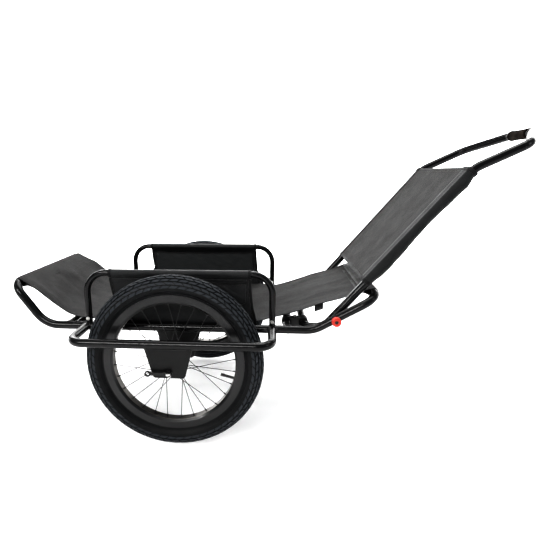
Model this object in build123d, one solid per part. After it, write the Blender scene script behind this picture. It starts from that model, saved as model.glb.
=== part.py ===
from build123d import *
import math
import os

# Two-wheeled game cart: a welded tube frame with a fabric sling bed, side hoops with fabric
# side panels, two spoked wheels held between dropout plates, and a folding pull handle.
# Millimetres. Origin on the ground, midway between the wheels' contact points.
# +X points to the handle (the way it is pulled), +Y is the cart's left side, +Z is up.

os.makedirs("parts", exist_ok=True)

# ---- driving dimensions -------------------------------------------------------------------
TUBE_RADIUS = 12.7            # one-inch frame tube
TUBE_WALL = 1.8
HOOP_RADIUS = 9.5             # three-quarter-inch hoop tube
HOOP_WALL = 1.5
WELD_GAP = 0.05               # root gap left where one tube is coped onto another

RAIL_Y = 240.0                # side rails, from the centre plane
RAIL_Z = 346.5
GUARD_Y = 380.0               # outer bar of the wheel guard
FRONT_BEND_X = -421.0         # where the rails turn up to the front crossbar
FRONT_BAR_X, FRONT_BAR_Z = -513.0, 477.0
REAR_BEND_X = 412.0           # where the rails turn up to the rear crossbar
REAR_BAR_X, REAR_BAR_Z = 596.0, 451.5
ARM_BEND_RADIUS = 85.0
FRONT_CORNER_RADIUS = 40.0
REAR_CORNER_RADIUS = 50.0
FRONT_CROSS_X = (-347.0, -320.5)
REAR_CROSS_X = 335.0

GUARD_X = 287.0               # guard legs, from the axle
GUARD_CORNER_RADIUS = 45.0

HOOP_CENTRE_X = 4.0
HOOP_HALF_LENGTH = 283.0
HOOP_TOP_Z = 516.5
HOOP_CORNER_RADIUS = 62.0
HOOP_BOLT_Z = 373.0
HOOP_STUB_TOP_Z = 400.0

WHEEL_RADIUS = 265.0          # twenty-inch wheel with a 57 mm wide tyre
WHEEL_Y = (RAIL_Y + GUARD_Y) / 2
TYRE_SECTION_RADIUS = 28.9
TYRE_WALL = 4.2
RIM_FLANGE_RADIUS = 209.0
RIM_HALF_WIDTH = 17.0
RIM_INNER_RADIUS = 182.0
SPOKES_PER_SIDE = 14
SPOKE_RADIUS = 1.0
SPOKE_CROSSINGS = 2
HUB_FLANGE_RADIUS = 27.0
HUB_HOLE_RADIUS = 22.5
HUB_FLANGE_Y = 28.0
VALVE_ANGLE = -15.0
VALVE_TIP_RADIUS = 142.0

PLATE_THICKNESS = 5.0
PLATE_TOP_HALF = 69.0
PLATE_BOTTOM_HALF = 44.5
PLATE_BOTTOM_Z = 248.0
AXLE_RADIUS = 5.0
AXLE_SLOT_HALF = 5.15
RUNNING_GAP = 0.05

HANDLE_Y = 212.0              # handle side tubes run just inside the rails
PIVOT_X = 384.0               # the handle's lower crossbar turns about its own axis
HANDLE_BEND_X = 444.6
HANDLE_ANGLE = 50.0           # lower part, above the horizontal
GRIP_ANGLE = 25.0             # upper part, above the horizontal
HANDLE_KNEE_X = 842.0
NECK_LENGTH = 150.0           # knee to where the loop narrows
LOOP_LENGTH = 241.0           # knee to the grip bar
GRIP_HALF_WIDTH = 62.0
GRIP_RADIUS = 15.2
GRIP_HALF_LENGTH = 46.0

PIN_RADIUS = 5.0
KNOB_RADIUS = 14.0

FABRIC = 1.4                  # two layers of heavy woven cloth
SLING_HALF_WIDE = 226.0       # over the bed and the front
SLING_HALF_NARROW = 192.0     # between the handle tubes
BED_Z = 364.5
PANEL_TOP_X = (-207.0, 222.0)
PANEL_LOW_X = (-188.0, 231.0)
PANEL_LOW_Y = 230.0
PANEL_LOW_Z = 358.0

# ---- derived values -----------------------------------------------------------------------
KNEE_RISE = (HANDLE_KNEE_X - HANDLE_BEND_X) * math.tan(math.radians(HANDLE_ANGLE))
HANDLE_KNEE_Z = RAIL_Z + KNEE_RISE
ARM_SLOPE = (REAR_BAR_Z - RAIL_Z) / (REAR_BAR_X - REAR_BEND_X)
HANDLE_SLOPE = math.tan(math.radians(HANDLE_ANGLE))
# The lock pins sit where the handle's side tubes cross the rear arms, seen from the side.
LOCK_X = (HANDLE_SLOPE * HANDLE_BEND_X - ARM_SLOPE * REAR_BEND_X) / (HANDLE_SLOPE - ARM_SLOPE)
LOCK_Z = RAIL_Z + ARM_SLOPE * (LOCK_X - REAR_BEND_X)
HUB_HALF = (GUARD_Y - RAIL_Y - PLATE_THICKNESS) / 2
AXLE_Z = WHEEL_RADIUS
HANDLE_DIRECTION = Vector(math.cos(math.radians(HANDLE_ANGLE)), 0, math.sin(math.radians(HANDLE_ANGLE)))
HANDLE_NORMAL = Vector(-HANDLE_DIRECTION.Z, 0, HANDLE_DIRECTION.X)

parts = {}


# ---- helpers ------------------------------------------------------------------------------
def bent_path(points, radius):
    return Wire(FilletPolyline(*points, radius=radius).edges())


def swept(path, outer, inner=0.0):
    """A round bar, or a tube when inner is given, along a path of tangent runs and arcs."""
    start = Plane(origin=path @ 0, z_dir=path % 0)
    section = Circle(outer)
    if inner:
        section = section - Circle(inner)
    return sweep(start * section, path=path)


def rod(start, end, radius, bore=0.0):
    """A straight round bar between two points, hollow when bore is given."""
    a, b = Vector(*start), Vector(*end)
    section = Circle(radius)
    if bore:
        section = section - Circle(bore)
    return extrude(Plane(origin=a, z_dir=b - a) * section, (b - a).length)


def hexagon(start, end, across_flats, bore=0.0):
    a, b = Vector(*start), Vector(*end)
    section = RegularPolygon(across_flats / 2, 6, major_radius=False)
    if bore:
        section = section - Circle(bore)
    return extrude(Plane(origin=a, z_dir=b - a) * section, (b - a).length)


def turned(profile):
    """Turns an outline of (radius, y) points about the Y axis."""
    face = make_face(Polyline(*[(r, y) for r, y in profile], close=True))
    return revolve(face, Axis.Y)


def side_extrusion(points, y_from, y_to):
    """Extrudes a side-view outline of (x, z) points from one y to another."""
    face = make_face(Polyline(*[(x, 0, z) for x, z in points], close=True))
    shape = extrude(face, y_to - y_from, dir=(0, 1, 0))
    return Pos(0, y_from, 0) * shape


def group(shapes):
    solids = [solid for shape in shapes for solid in shape.solids()]
    return solids[0] if len(solids) == 1 else Compound(children=solids)


def keep(name, *shapes):
    parts[name] = group(shapes)


def keep_pair(name, *shapes):
    """Shapes made for the left side are kept there, and mirrored for the right side."""
    keep(f"{name}_left", *shapes)
    keep(f"{name}_right", *[mirror(shape, about=Plane.XZ) for shape in shapes])


# ---- main frame ---------------------------------------------------------------------------
def frame_path():
    one_side = [
        (FRONT_BAR_X, RAIL_Y, FRONT_BAR_Z),
        (FRONT_BEND_X, RAIL_Y, RAIL_Z),
        (REAR_BEND_X, RAIL_Y, RAIL_Z),
        (REAR_BAR_X, RAIL_Y, REAR_BAR_Z),
    ]
    other_side = [(x, -y, z) for x, y, z in reversed(one_side)]
    start = (FRONT_BAR_X, 0, FRONT_BAR_Z)
    radii = [FRONT_CORNER_RADIUS, ARM_BEND_RADIUS, ARM_BEND_RADIUS, REAR_CORNER_RADIUS]
    half_a = bent_path([start] + one_side + [(REAR_BAR_X, 0, REAR_BAR_Z)], radii)
    half_b = bent_path([(REAR_BAR_X, 0, REAR_BAR_Z)] + other_side + [start], radii[::-1])
    return half_a, half_b


def frame_loop(outer, inner=0.0):
    half_a, half_b = frame_path()
    return swept(half_a, outer, inner) + swept(half_b, outer, inner)


def lock_rod(y_from, y_to, radius):
    """A round bar on the line of the left lock pin."""
    return rod((LOCK_X, y_from, LOCK_Z), (LOCK_X, y_to, LOCK_Z), radius)


BARREL_RADIUS = 8.0
frame_envelope = frame_loop(TUBE_RADIUS + WELD_GAP)
arm_bore = lock_rod(RAIL_Y - 20, RAIL_Y + 20, BARREL_RADIUS + WELD_GAP)
main_frame = frame_loop(TUBE_RADIUS, TUBE_RADIUS - TUBE_WALL)
main_frame = main_frame - arm_bore - mirror(arm_bore, about=Plane.XZ)
keep("main_frame", main_frame)


def cross_tube(x):
    tube = rod((x, -RAIL_Y, RAIL_Z), (x, RAIL_Y, RAIL_Z), TUBE_RADIUS, TUBE_RADIUS - TUBE_WALL)
    pieces = (tube - frame_envelope).solids()
    return max(pieces, key=lambda solid: solid.volume)


keep("front_cross_tubes", *[cross_tube(x) for x in FRONT_CROSS_X])
keep("rear_cross_tube", cross_tube(REAR_CROSS_X))


# ---- wheel guards and dropout plates ------------------------------------------------------
def guard_tube(outer, inner=0.0):
    points = [
        (-GUARD_X, RAIL_Y, RAIL_Z),
        (-GUARD_X, GUARD_Y, RAIL_Z),
        (GUARD_X, GUARD_Y, RAIL_Z),
        (GUARD_X, RAIL_Y, RAIL_Z),
    ]
    return swept(bent_path(points, GUARD_CORNER_RADIUS), outer, inner)


def largest(shape):
    return max(shape.solids(), key=lambda solid: solid.volume)


keep_pair("wheel_guard", largest(guard_tube(TUBE_RADIUS, TUBE_RADIUS - TUBE_WALL) - frame_envelope))


def dropout_plate(y, tube_envelope):
    """A tapered plate under a tube, with a slot open at the bottom for the axle."""
    outline = [
        (-PLATE_TOP_HALF - 2, RAIL_Z),
        (-PLATE_BOTTOM_HALF, PLATE_BOTTOM_Z),
        (PLATE_BOTTOM_HALF, PLATE_BOTTOM_Z),
        (PLATE_TOP_HALF + 2, RAIL_Z),
    ]
    plate = side_extrusion(outline, y - PLATE_THICKNESS / 2, y + PLATE_THICKNESS / 2)
    foot_corners = plate.edges().filter_by(Axis.Y).group_by(Axis.Z)[0]
    plate = fillet(foot_corners, radius=10)
    plate = plate - rod((0, y - PLATE_THICKNESS, AXLE_Z), (0, y + PLATE_THICKNESS, AXLE_Z), AXLE_SLOT_HALF)
    slot_mouth = Pos(0, y, AXLE_Z - 25) * Box(2 * AXLE_SLOT_HALF, 3 * PLATE_THICKNESS, 50)
    plate = plate - slot_mouth
    return largest(plate - tube_envelope)


guard_envelope = guard_tube(TUBE_RADIUS + WELD_GAP)
keep_pair("inner_dropout", dropout_plate(RAIL_Y, frame_envelope))
keep_pair("outer_dropout", dropout_plate(GUARD_Y, guard_envelope))


# ---- side hoops ---------------------------------------------------------------------------
HOOP_LEG_X = (HOOP_CENTRE_X - HOOP_HALF_LENGTH, HOOP_CENTRE_X + HOOP_HALF_LENGTH)
HOOP_BOLT_RADIUS = 3.0


def hoop_bolt_bore(x):
    return rod((x, RAIL_Y - 15, HOOP_BOLT_Z), (x, RAIL_Y + 15, HOOP_BOLT_Z), HOOP_BOLT_RADIUS + RUNNING_GAP)


def side_hoop():
    front, rear = HOOP_LEG_X
    points = [(front, RAIL_Y, RAIL_Z), (front, RAIL_Y, HOOP_TOP_Z)]
    points += [(rear, RAIL_Y, HOOP_TOP_Z), (rear, RAIL_Y, RAIL_Z)]
    path = bent_path(points, HOOP_CORNER_RADIUS)
    hoop = swept(path, HOOP_RADIUS, HOOP_RADIUS - HOOP_WALL) - frame_envelope - guard_envelope
    hoop = largest(hoop)
    for x in HOOP_LEG_X:
        hoop = hoop - hoop_bolt_bore(x)
    return hoop


def hoop_stub(x):
    """A round stub welded upright on the rail, inside the foot of a hoop leg."""
    radius = HOOP_RADIUS - HOOP_WALL - 2 * RUNNING_GAP
    stub = rod((x, RAIL_Y, RAIL_Z), (x, RAIL_Y, HOOP_STUB_TOP_Z), radius)
    stub = stub - frame_envelope - guard_envelope
    return largest(stub) - hoop_bolt_bore(x)


def hoop_bolt(x):
    """A bolt through hoop leg and stub, with its nut on the inner side."""
    outer_face = RAIL_Y + HOOP_RADIUS + 0.2
    inner_face = RAIL_Y - HOOP_RADIUS - 0.2
    shank = rod((x, inner_face - 4, HOOP_BOLT_Z), (x, outer_face, HOOP_BOLT_Z), HOOP_BOLT_RADIUS)
    head = hexagon((x, outer_face, HOOP_BOLT_Z), (x, outer_face + 4, HOOP_BOLT_Z), 10)
    nut_start = (x, inner_face - 3.4, HOOP_BOLT_Z)
    nut = hexagon(nut_start, (x, inner_face, HOOP_BOLT_Z), 10, HOOP_BOLT_RADIUS + 0.01)
    return [shank + head, nut]


keep_pair("side_hoop", side_hoop())
keep_pair("hoop_stubs", *[hoop_stub(x) for x in HOOP_LEG_X])
keep_pair("hoop_bolts", *[piece for x in HOOP_LEG_X for piece in hoop_bolt(x)])


# ---- handle -------------------------------------------------------------------------------
def handle_point(along, y):
    """A point of the upper loop, a distance up the slope from the knee."""
    rise = math.radians(GRIP_ANGLE)
    return (HANDLE_KNEE_X + along * math.cos(rise), y, HANDLE_KNEE_Z + along * math.sin(rise))


def handle_loop(outer, inner=0.0):
    def half(side):
        points = [
            (PIVOT_X, 0, RAIL_Z),
            (PIVOT_X, side * HANDLE_Y, RAIL_Z),
            (HANDLE_BEND_X, side * HANDLE_Y, RAIL_Z),
            (HANDLE_KNEE_X, side * HANDLE_Y, HANDLE_KNEE_Z),
            handle_point(NECK_LENGTH, side * HANDLE_Y),
            handle_point(LOOP_LENGTH, side * GRIP_HALF_WIDTH),
            handle_point(LOOP_LENGTH, 0),
        ]
        return bent_path(points, [30, 62, 60, 42, 24])

    return swept(half(1), outer, inner) + swept(half(-1), outer, inner)


pin_hole = lock_rod(HANDLE_Y, HANDLE_Y + 20, PIN_RADIUS + 0.2)
handle_frame = handle_loop(TUBE_RADIUS, TUBE_RADIUS - TUBE_WALL)
keep("handle_frame", handle_frame - pin_hole - mirror(pin_hole, about=Plane.XZ))

grip_centre = Vector(*handle_point(LOOP_LENGTH, 0))


def grip_tube(y_from, y_to, radius):
    start = (grip_centre.X, y_from, grip_centre.Z)
    end = (grip_centre.X, y_to, grip_centre.Z)
    return rod(start, end, radius, TUBE_RADIUS + 0.02)


COLLAR_WIDTH = 5.0
grip = grip_tube(-GRIP_HALF_LENGTH, GRIP_HALF_LENGTH, GRIP_RADIUS)
for end in (-1, 1):
    middle = end * (GRIP_HALF_LENGTH - COLLAR_WIDTH / 2)
    grip = grip + grip_tube(middle - COLLAR_WIDTH / 2, middle + COLLAR_WIDTH / 2, GRIP_RADIUS + 1.2)
keep("grip_sleeve", grip)


# ---- handle hinge -------------------------------------------------------------------------
CLAMP_Y = 160.0
CLAMP_HALF_WIDTH = 12.0
CLAMP_WALL = 4.5
CLAMP_SPLIT = 0.3
CLAMP_BOLT_RADIUS = 3.0
CLAMP_BOLT_X = (REAR_CROSS_X + PIVOT_X) / 2


def hinge_clamp(y):
    """A split block that grips the frame's cross tube and carries the handle's crossbar."""
    radius = TUBE_RADIUS + CLAMP_WALL
    start, end = y - CLAMP_HALF_WIDTH, y + CLAMP_HALF_WIDTH
    block = rod((REAR_CROSS_X, start, RAIL_Z), (REAR_CROSS_X, end, RAIL_Z), radius)
    block = block + rod((PIVOT_X, start, RAIL_Z), (PIVOT_X, end, RAIL_Z), radius)
    web = Box(PIVOT_X - REAR_CROSS_X, 2 * CLAMP_HALF_WIDTH, 2 * (TUBE_RADIUS + 1))
    block = block + Pos(CLAMP_BOLT_X, y, RAIL_Z) * web
    grip_bore = rod((REAR_CROSS_X, start - 1, RAIL_Z), (REAR_CROSS_X, end + 1, RAIL_Z), TUBE_RADIUS + 0.02)
    pivot_bore = rod((PIVOT_X, start - 1, RAIL_Z), (PIVOT_X, end + 1, RAIL_Z), TUBE_RADIUS + RUNNING_GAP)
    bolt_bore = rod((CLAMP_BOLT_X, y, RAIL_Z - 30), (CLAMP_BOLT_X, y, RAIL_Z + 30), CLAMP_BOLT_RADIUS + 0.1)
    return block - grip_bore - pivot_bore - bolt_bore


def half_block(block, sign):
    reach = 60.0
    keep_box = Pos(CLAMP_BOLT_X, 0, RAIL_Z + sign * (reach / 2 + CLAMP_SPLIT / 2)) * Box(200, 600, reach)
    return block & keep_box


def clamp_bolt(y):
    top = RAIL_Z + TUBE_RADIUS + 1.1
    low = RAIL_Z - TUBE_RADIUS - 1.1
    shank = rod((CLAMP_BOLT_X, y, low - 6), (CLAMP_BOLT_X, y, top), CLAMP_BOLT_RADIUS)
    head = rod((CLAMP_BOLT_X, y, top), (CLAMP_BOLT_X, y, top + 5), 5.0)
    socket = hexagon((CLAMP_BOLT_X, y, top + 2), (CLAMP_BOLT_X, y, top + 6), 5.0)
    nut = hexagon((CLAMP_BOLT_X, y, low - 5), (CLAMP_BOLT_X, y, low), 10, CLAMP_BOLT_RADIUS + 0.01)
    return [shank + head - socket, nut]


clamps = [hinge_clamp(side * CLAMP_Y) for side in (1, -1)]
keep("hinge_clamp_caps", *[half_block(clamp, 1) for clamp in clamps])
keep("hinge_clamp_bases", *[half_block(clamp, -1) for clamp in clamps])
keep("hinge_clamp_bolts", *[piece for side in (1, -1) for piece in clamp_bolt(side * CLAMP_Y)])


# ---- spring lock pins on the rear arms ----------------------------------------------------
BARREL_START = RAIL_Y - 12.4
BARREL_END = RAIL_Y + 17.0
NOSE_BORE_LENGTH = 3.5
CAVITY_RADIUS = 7.0
CAP_LENGTH = 4.0
STEM_RADIUS = 3.0
NOSE_START = HANDLE_Y + TUBE_RADIUS + 0.6
PIN_COLLAR = (BARREL_START + NOSE_BORE_LENGTH + 0.3, BARREL_START + NOSE_BORE_LENGTH + 2.3)
KNOB_START = BARREL_END + 0.4
KNOB_END = KNOB_START + 15.0


def lock_barrel():
    barrel = lock_rod(BARREL_START, BARREL_END, BARREL_RADIUS)
    barrel = barrel + lock_rod(RAIL_Y + TUBE_RADIUS + 1, BARREL_END, BARREL_RADIUS + 3.5)
    barrel = barrel - lock_rod(BARREL_START - 1, BARREL_END + 1, STEM_RADIUS + RUNNING_GAP)
    barrel = barrel - lock_rod(BARREL_START - 1, BARREL_START + 5, PIN_RADIUS + RUNNING_GAP)
    return barrel - lock_rod(BARREL_START + NOSE_BORE_LENGTH, BARREL_END - CAP_LENGTH, CAVITY_RADIUS)


def lock_pin():
    pin = lock_rod(NOSE_START, PIN_COLLAR[0], PIN_RADIUS)
    pin = pin + lock_rod(PIN_COLLAR[0], PIN_COLLAR[1], CAVITY_RADIUS - 0.2)
    return pin + lock_rod(PIN_COLLAR[1], KNOB_END - 4, STEM_RADIUS)


def lock_spring():
    """The coil at its fully pressed length, behind the pin's collar."""
    wire = 0.6
    pitch = 1.45
    turns = 5
    path = Helix(pitch=pitch, height=pitch * turns, radius=CAVITY_RADIUS - 1.5)
    coil = sweep(Plane(origin=path @ 0, z_dir=path % 0) * Circle(wire), path=path)
    length = pitch * turns
    place = Pos(LOCK_X, BARREL_END - CAP_LENGTH - length - 2 * wire, LOCK_Z) * Rot(-90, 0, 0)
    return place * Pos(0, 0, wire) * coil


def lock_knob():
    knob = lock_rod(KNOB_START, KNOB_END, KNOB_RADIUS)
    knob = fillet(knob.edges().filter_by(GeomType.CIRCLE), radius=2.0)
    knob = knob - lock_rod(KNOB_START - 1, KNOB_END - 4, STEM_RADIUS + 0.01)
    knob = knob - lock_rod(KNOB_END - 3, KNOB_END + 1, 5.5)
    for turn in range(12):
        angle = math.radians(30 * turn)
        x = LOCK_X + (KNOB_RADIUS + 1.6) * math.cos(angle)
        z = LOCK_Z + (KNOB_RADIUS + 1.6) * math.sin(angle)
        knob = knob - rod((x, KNOB_START - 1, z), (x, KNOB_END + 1, z), 2.6)
    return knob


keep_pair("lock_barrel", lock_barrel())
keep_pair("lock_pin", lock_pin())
keep_pair("lock_spring", lock_spring())
keep_pair("lock_knob", lock_knob())


# ---- wheels: made at the origin about the Y axis, then moved out to the left side ----------
def in_place(shape):
    return Pos(0, WHEEL_Y, AXLE_Z) * shape


TYRE_CENTRE_RADIUS = WHEEL_RADIUS - TYRE_SECTION_RADIUS
RIM_WALL = 1.8
RIM_WELL_RADIUS = 198.0
RIM_SHOULDER_RADIUS = 189.0
RIM_FLOOR_HALF = 11.0
NIPPLE_RADIUS = 1.9


def tyre():
    shell = Pos(TYRE_CENTRE_RADIUS, 0) * (Circle(TYRE_SECTION_RADIUS) - Circle(TYRE_SECTION_RADIUS - TYRE_WALL))
    cut_radius = RIM_FLANGE_RADIUS + 0.6
    shell = shell - Pos(cut_radius - 50, 0) * Rectangle(100, 100)
    bead_outer = RIM_HALF_WIDTH - RIM_WALL - 0.2
    bead_inner = bead_outer - 4.5
    shell = shell - Pos(cut_radius, 0) * Rectangle(12, 2 * bead_inner)
    for side in (1, -1):
        bead = Polyline(
            (RIM_WELL_RADIUS + RIM_WALL + 0.4, side * bead_inner),
            (cut_radius + 3.5, side * bead_inner),
            (cut_radius + 3.5, side * (bead_outer - 0.2)),
            (RIM_WELL_RADIUS + RIM_WALL + 0.4, side * bead_outer),
            close=True,
        )
        shell = shell + make_face(bead)
    return revolve(shell, Axis.Y)


def inner_tube():
    radius = TYRE_SECTION_RADIUS - TYRE_WALL - 0.8
    upright = Rot(90, 0, 0)
    angle = math.radians(VALVE_ANGLE)
    direction = Vector(math.cos(angle), 0, math.sin(angle))
    foot = direction * (TYRE_CENTRE_RADIUS - radius + 0.6)
    stem = rod(foot, direction * (VALVE_TIP_RADIUS + 12), 4.0)
    cap = rod(direction * (VALVE_TIP_RADIUS + 12), direction * VALVE_TIP_RADIUS, 4.6)
    filled = upright * Torus(TYRE_CENTRE_RADIUS, radius) + stem + cap
    valve_bore = rod(direction * (VALVE_TIP_RADIUS - 1), foot + direction * 4, 1.5)
    return filled - (upright * Torus(TYRE_CENTRE_RADIUS, radius - 1.2) + valve_bore)


def rim():
    outer = [
        (RIM_FLANGE_RADIUS, RIM_HALF_WIDTH - RIM_WALL),
        (RIM_FLANGE_RADIUS, RIM_HALF_WIDTH),
        (RIM_SHOULDER_RADIUS, RIM_HALF_WIDTH),
        (RIM_INNER_RADIUS, RIM_FLOOR_HALF),
    ]
    well = [
        (RIM_WELL_RADIUS + RIM_WALL, RIM_HALF_WIDTH - RIM_WALL),
        (RIM_WELL_RADIUS + RIM_WALL, 9.0),
        (RIM_WELL_RADIUS - 2, 7.0),
    ]
    outline = outer + [(r, -y) for r, y in reversed(outer)]
    channel = [(r, -y) for r, y in well] + [(r, y) for r, y in reversed(well)]
    body = turned(outline + channel)
    hollow = [
        (RIM_WELL_RADIUS - 1, RIM_HALF_WIDTH - 2 * RIM_WALL),
        (RIM_SHOULDER_RADIUS + 1, RIM_HALF_WIDTH - 2 * RIM_WALL),
        (RIM_INNER_RADIUS + 2.2, RIM_FLOOR_HALF - 1),
    ]
    hollow = hollow + [(r, -y) for r, y in reversed(hollow)]
    hollow += [(RIM_WELL_RADIUS - 1, -9.0), (RIM_WELL_RADIUS - 4.2, -8.0)]
    hollow += [(RIM_WELL_RADIUS - 4.2, 8.0), (RIM_WELL_RADIUS - 1, 9.0)]
    body = body - turned(hollow)
    for index in range(2 * SPOKES_PER_SIDE):
        hub, outer, _, _ = spoke_ends(index)
        direction = (outer - hub).normalized()
        body = body - rod(outer - direction * 12, outer + direction * 6, NIPPLE_RADIUS + 0.15)
    angle = math.radians(VALVE_ANGLE)
    valve_start = (170 * math.cos(angle), 0, 170 * math.sin(angle))
    valve_end = (205 * math.cos(angle), 0, 205 * math.sin(angle))
    return body - rod(valve_start, valve_end, 4.3)


def rim_angle(index):
    step = math.pi / SPOKES_PER_SIDE
    return (index + 0.5) * step + math.radians(VALVE_ANGLE)


def spoke_ends(index):
    """Hub end and rim end of one spoke; the flanges take turns, and so do the two slants."""
    side = 1 if index % 2 else -1
    slant = 1 if (index // 2) % 2 else -1
    turn = SPOKE_CROSSINGS * 2 * math.pi / SPOKES_PER_SIDE
    outer_angle = rim_angle(index)
    hub_angle = outer_angle + slant * turn
    hub_y = side * (HUB_FLANGE_Y + (3.6 if slant > 0 else -2.3))
    hub = Vector(HUB_HOLE_RADIUS * math.cos(hub_angle), hub_y, HUB_HOLE_RADIUS * math.sin(hub_angle))
    reach = RIM_INNER_RADIUS + 3
    outer = Vector(reach * math.cos(outer_angle), side * 1.2, reach * math.sin(outer_angle))
    return hub, outer, side, slant


def spoke(index):
    hub, outer, side, slant = spoke_ends(index)
    blade = rod(hub, outer, SPOKE_RADIUS)
    head_y = side * (HUB_FLANGE_Y - slant * 2.4)
    elbow = rod(hub, (hub.X, head_y, hub.Z), SPOKE_RADIUS)
    return blade + elbow + Pos(hub) * Sphere(SPOKE_RADIUS)


def nipple(index):
    hub, outer, side, slant = spoke_ends(index)
    direction = (outer - hub).normalized()
    start = outer - direction * 10
    end = outer + direction * 1.5
    return rod(start, end, NIPPLE_RADIUS, SPOKE_RADIUS + 0.01)


def hub_shell():
    profile = [
        (13.0, -52.0), (16.5, -52.0), (17.5, -34.0), (17.5, -HUB_FLANGE_Y - 1.2),
        (HUB_FLANGE_RADIUS, -HUB_FLANGE_Y - 1.2), (HUB_FLANGE_RADIUS, -HUB_FLANGE_Y + 1.2),
        (16.0, -HUB_FLANGE_Y + 1.2), (13.5, -20.0),
    ]
    outline = profile + [(r, -y) for r, y in reversed(profile)]
    shell = turned(outline + [(10.0, 40.0), (10.0, -40.0)])
    shell = shell - turned([(0.01, -53), (13.0, -53), (13.0, -40), (0.01, -40)])
    shell = shell - turned([(0.01, 40), (13.0, 40), (13.0, 53), (0.01, 53)])
    holes = [spoke_ends(index) for index in range(2 * SPOKES_PER_SIDE)]
    for hub, _, side, _ in holes:
        start = (hub.X, side * (HUB_FLANGE_Y - 9), hub.Z)
        shell = shell - rod(start, (hub.X, side * (HUB_FLANGE_Y + 9), hub.Z), 3.2)
    return shell


def bearing(side):
    start, end = side * 41.0, side * 51.5
    ring = rod((0, start, 0), (0, end, 0), 12.98, 10.4)
    race = rod((0, start, 0), (0, end, 0), 7.6, AXLE_RADIUS + RUNNING_GAP)
    shield = rod((0, side * 45.0, 0), (0, side * 47.5, 0), 10.45, 7.55)
    return ring + race + shield


def locknut(side):
    cone = rod((0, side * 52.6, 0), (0, side * 60.0, 0), 7.4, AXLE_RADIUS + 0.01)
    return cone + hexagon((0, side * 60.0, 0), (0, side * (HUB_HALF - 0.1), 0), 15, AXLE_RADIUS + 0.01)


LEVER_Y = HUB_HALF + PLATE_THICKNESS + 10.5
EYE_RADIUS = 7.0
EYE_HALF = 2.8
LEVER_LENGTH = 58.0
CAM_RADIUS = 4.5


def skewer():
    inner_end = -HUB_HALF - PLATE_THICKNESS - 14
    bar = rod((0, inner_end, 0), (0, LEVER_Y - EYE_RADIUS + 1, 0), 2.5)
    eye = rod((0, LEVER_Y, -EYE_HALF), (0, LEVER_Y, EYE_HALF), EYE_RADIUS)
    return bar + eye - rod((0, LEVER_Y, -4), (0, LEVER_Y, 4), CAM_RADIUS + RUNNING_GAP)


def skewer_cap():
    face = HUB_HALF + PLATE_THICKNESS + 0.05
    cap = rod((0, face, 0), (0, face + 2.9, 0), 9.5, 2.6)
    return cap


def skewer_nut():
    face = -HUB_HALF - PLATE_THICKNESS - 0.05
    nut = rod((0, face, 0), (0, face - 4, 0), 9.0, 2.51)
    return nut + hexagon((0, face - 4, 0), (0, face - 12, 0), 12, 2.51)


def lever():
    """A flat cam lever with a ring end; it points forwards when it is closed."""
    barrel = rod((0, LEVER_Y, -6.4), (0, LEVER_Y, 6.4), CAM_RADIUS)
    for side in (1, -1):
        barrel = barrel + rod((0, LEVER_Y, side * 3.0), (0, LEVER_Y, side * 6.4), EYE_RADIUS - 0.4)
    arm = Pos(-LEVER_LENGTH / 2 - 4, LEVER_Y, 0) * Box(LEVER_LENGTH - 8, 4, 8)
    neck = Pos(-9.5, LEVER_Y, 0) * Box(9, 4, 12.8)
    slot = Pos(0, LEVER_Y, 0) * Box(2 * EYE_RADIUS + 1.2, 20, 6.0)
    ring = rod((-LEVER_LENGTH, LEVER_Y - 2, 0), (-LEVER_LENGTH, LEVER_Y + 2, 0), 8.5)
    body = barrel + arm + neck + ring
    for side in (1, -1):
        body = body + Pos(-4, LEVER_Y, side * 4.7) * Box(8, 4, 3.4)
    body = body - slot + rod((0, LEVER_Y, -3), (0, LEVER_Y, 3), CAM_RADIUS)
    return body - rod((-LEVER_LENGTH, LEVER_Y - 3, 0), (-LEVER_LENGTH, LEVER_Y + 3, 0), 4.5)


keep_pair("tyre", in_place(tyre()))
keep_pair("inner_tube", in_place(inner_tube()))
keep_pair("rim", in_place(rim()))
keep_pair("spokes", *[in_place(spoke(index)) for index in range(2 * SPOKES_PER_SIDE)])
keep_pair("spoke_nipples", *[in_place(nipple(index)) for index in range(2 * SPOKES_PER_SIDE)])
keep_pair("hub_shell", in_place(hub_shell()))
keep_pair("hub_bearings", in_place(bearing(1)), in_place(bearing(-1)))
axle_end = HUB_HALF + PLATE_THICKNESS - 0.4
keep_pair("axle", in_place(rod((0, -axle_end, 0), (0, axle_end, 0), AXLE_RADIUS, 2.6)))
keep_pair("axle_locknuts", in_place(locknut(1)), in_place(locknut(-1)))
keep_pair("skewer", in_place(skewer()))
keep_pair("skewer_cap", in_place(skewer_cap()))
keep_pair("skewer_nut", in_place(skewer_nut()))
keep_pair("quick_release_lever", in_place(lever()))


# ---- fabric -------------------------------------------------------------------------------
SLEEVE_GAP = 0.4
SLEEVE_RADIUS = TUBE_RADIUS + SLEEVE_GAP
SLING_SAMPLES = [
    (FRONT_BAR_X + 9, FRONT_BAR_Z + 10), (-454, 458), (-420, 430), (-386, 403), (-349, 380),
    (-300, 368), (-200, BED_Z), (0, BED_Z - 1), (200, BED_Z), (280, 369), (321, 376),
    (387, 399), (441, 418), (507, 437), (REAR_BAR_X - 6, REAR_BAR_Z + 12),
]


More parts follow.
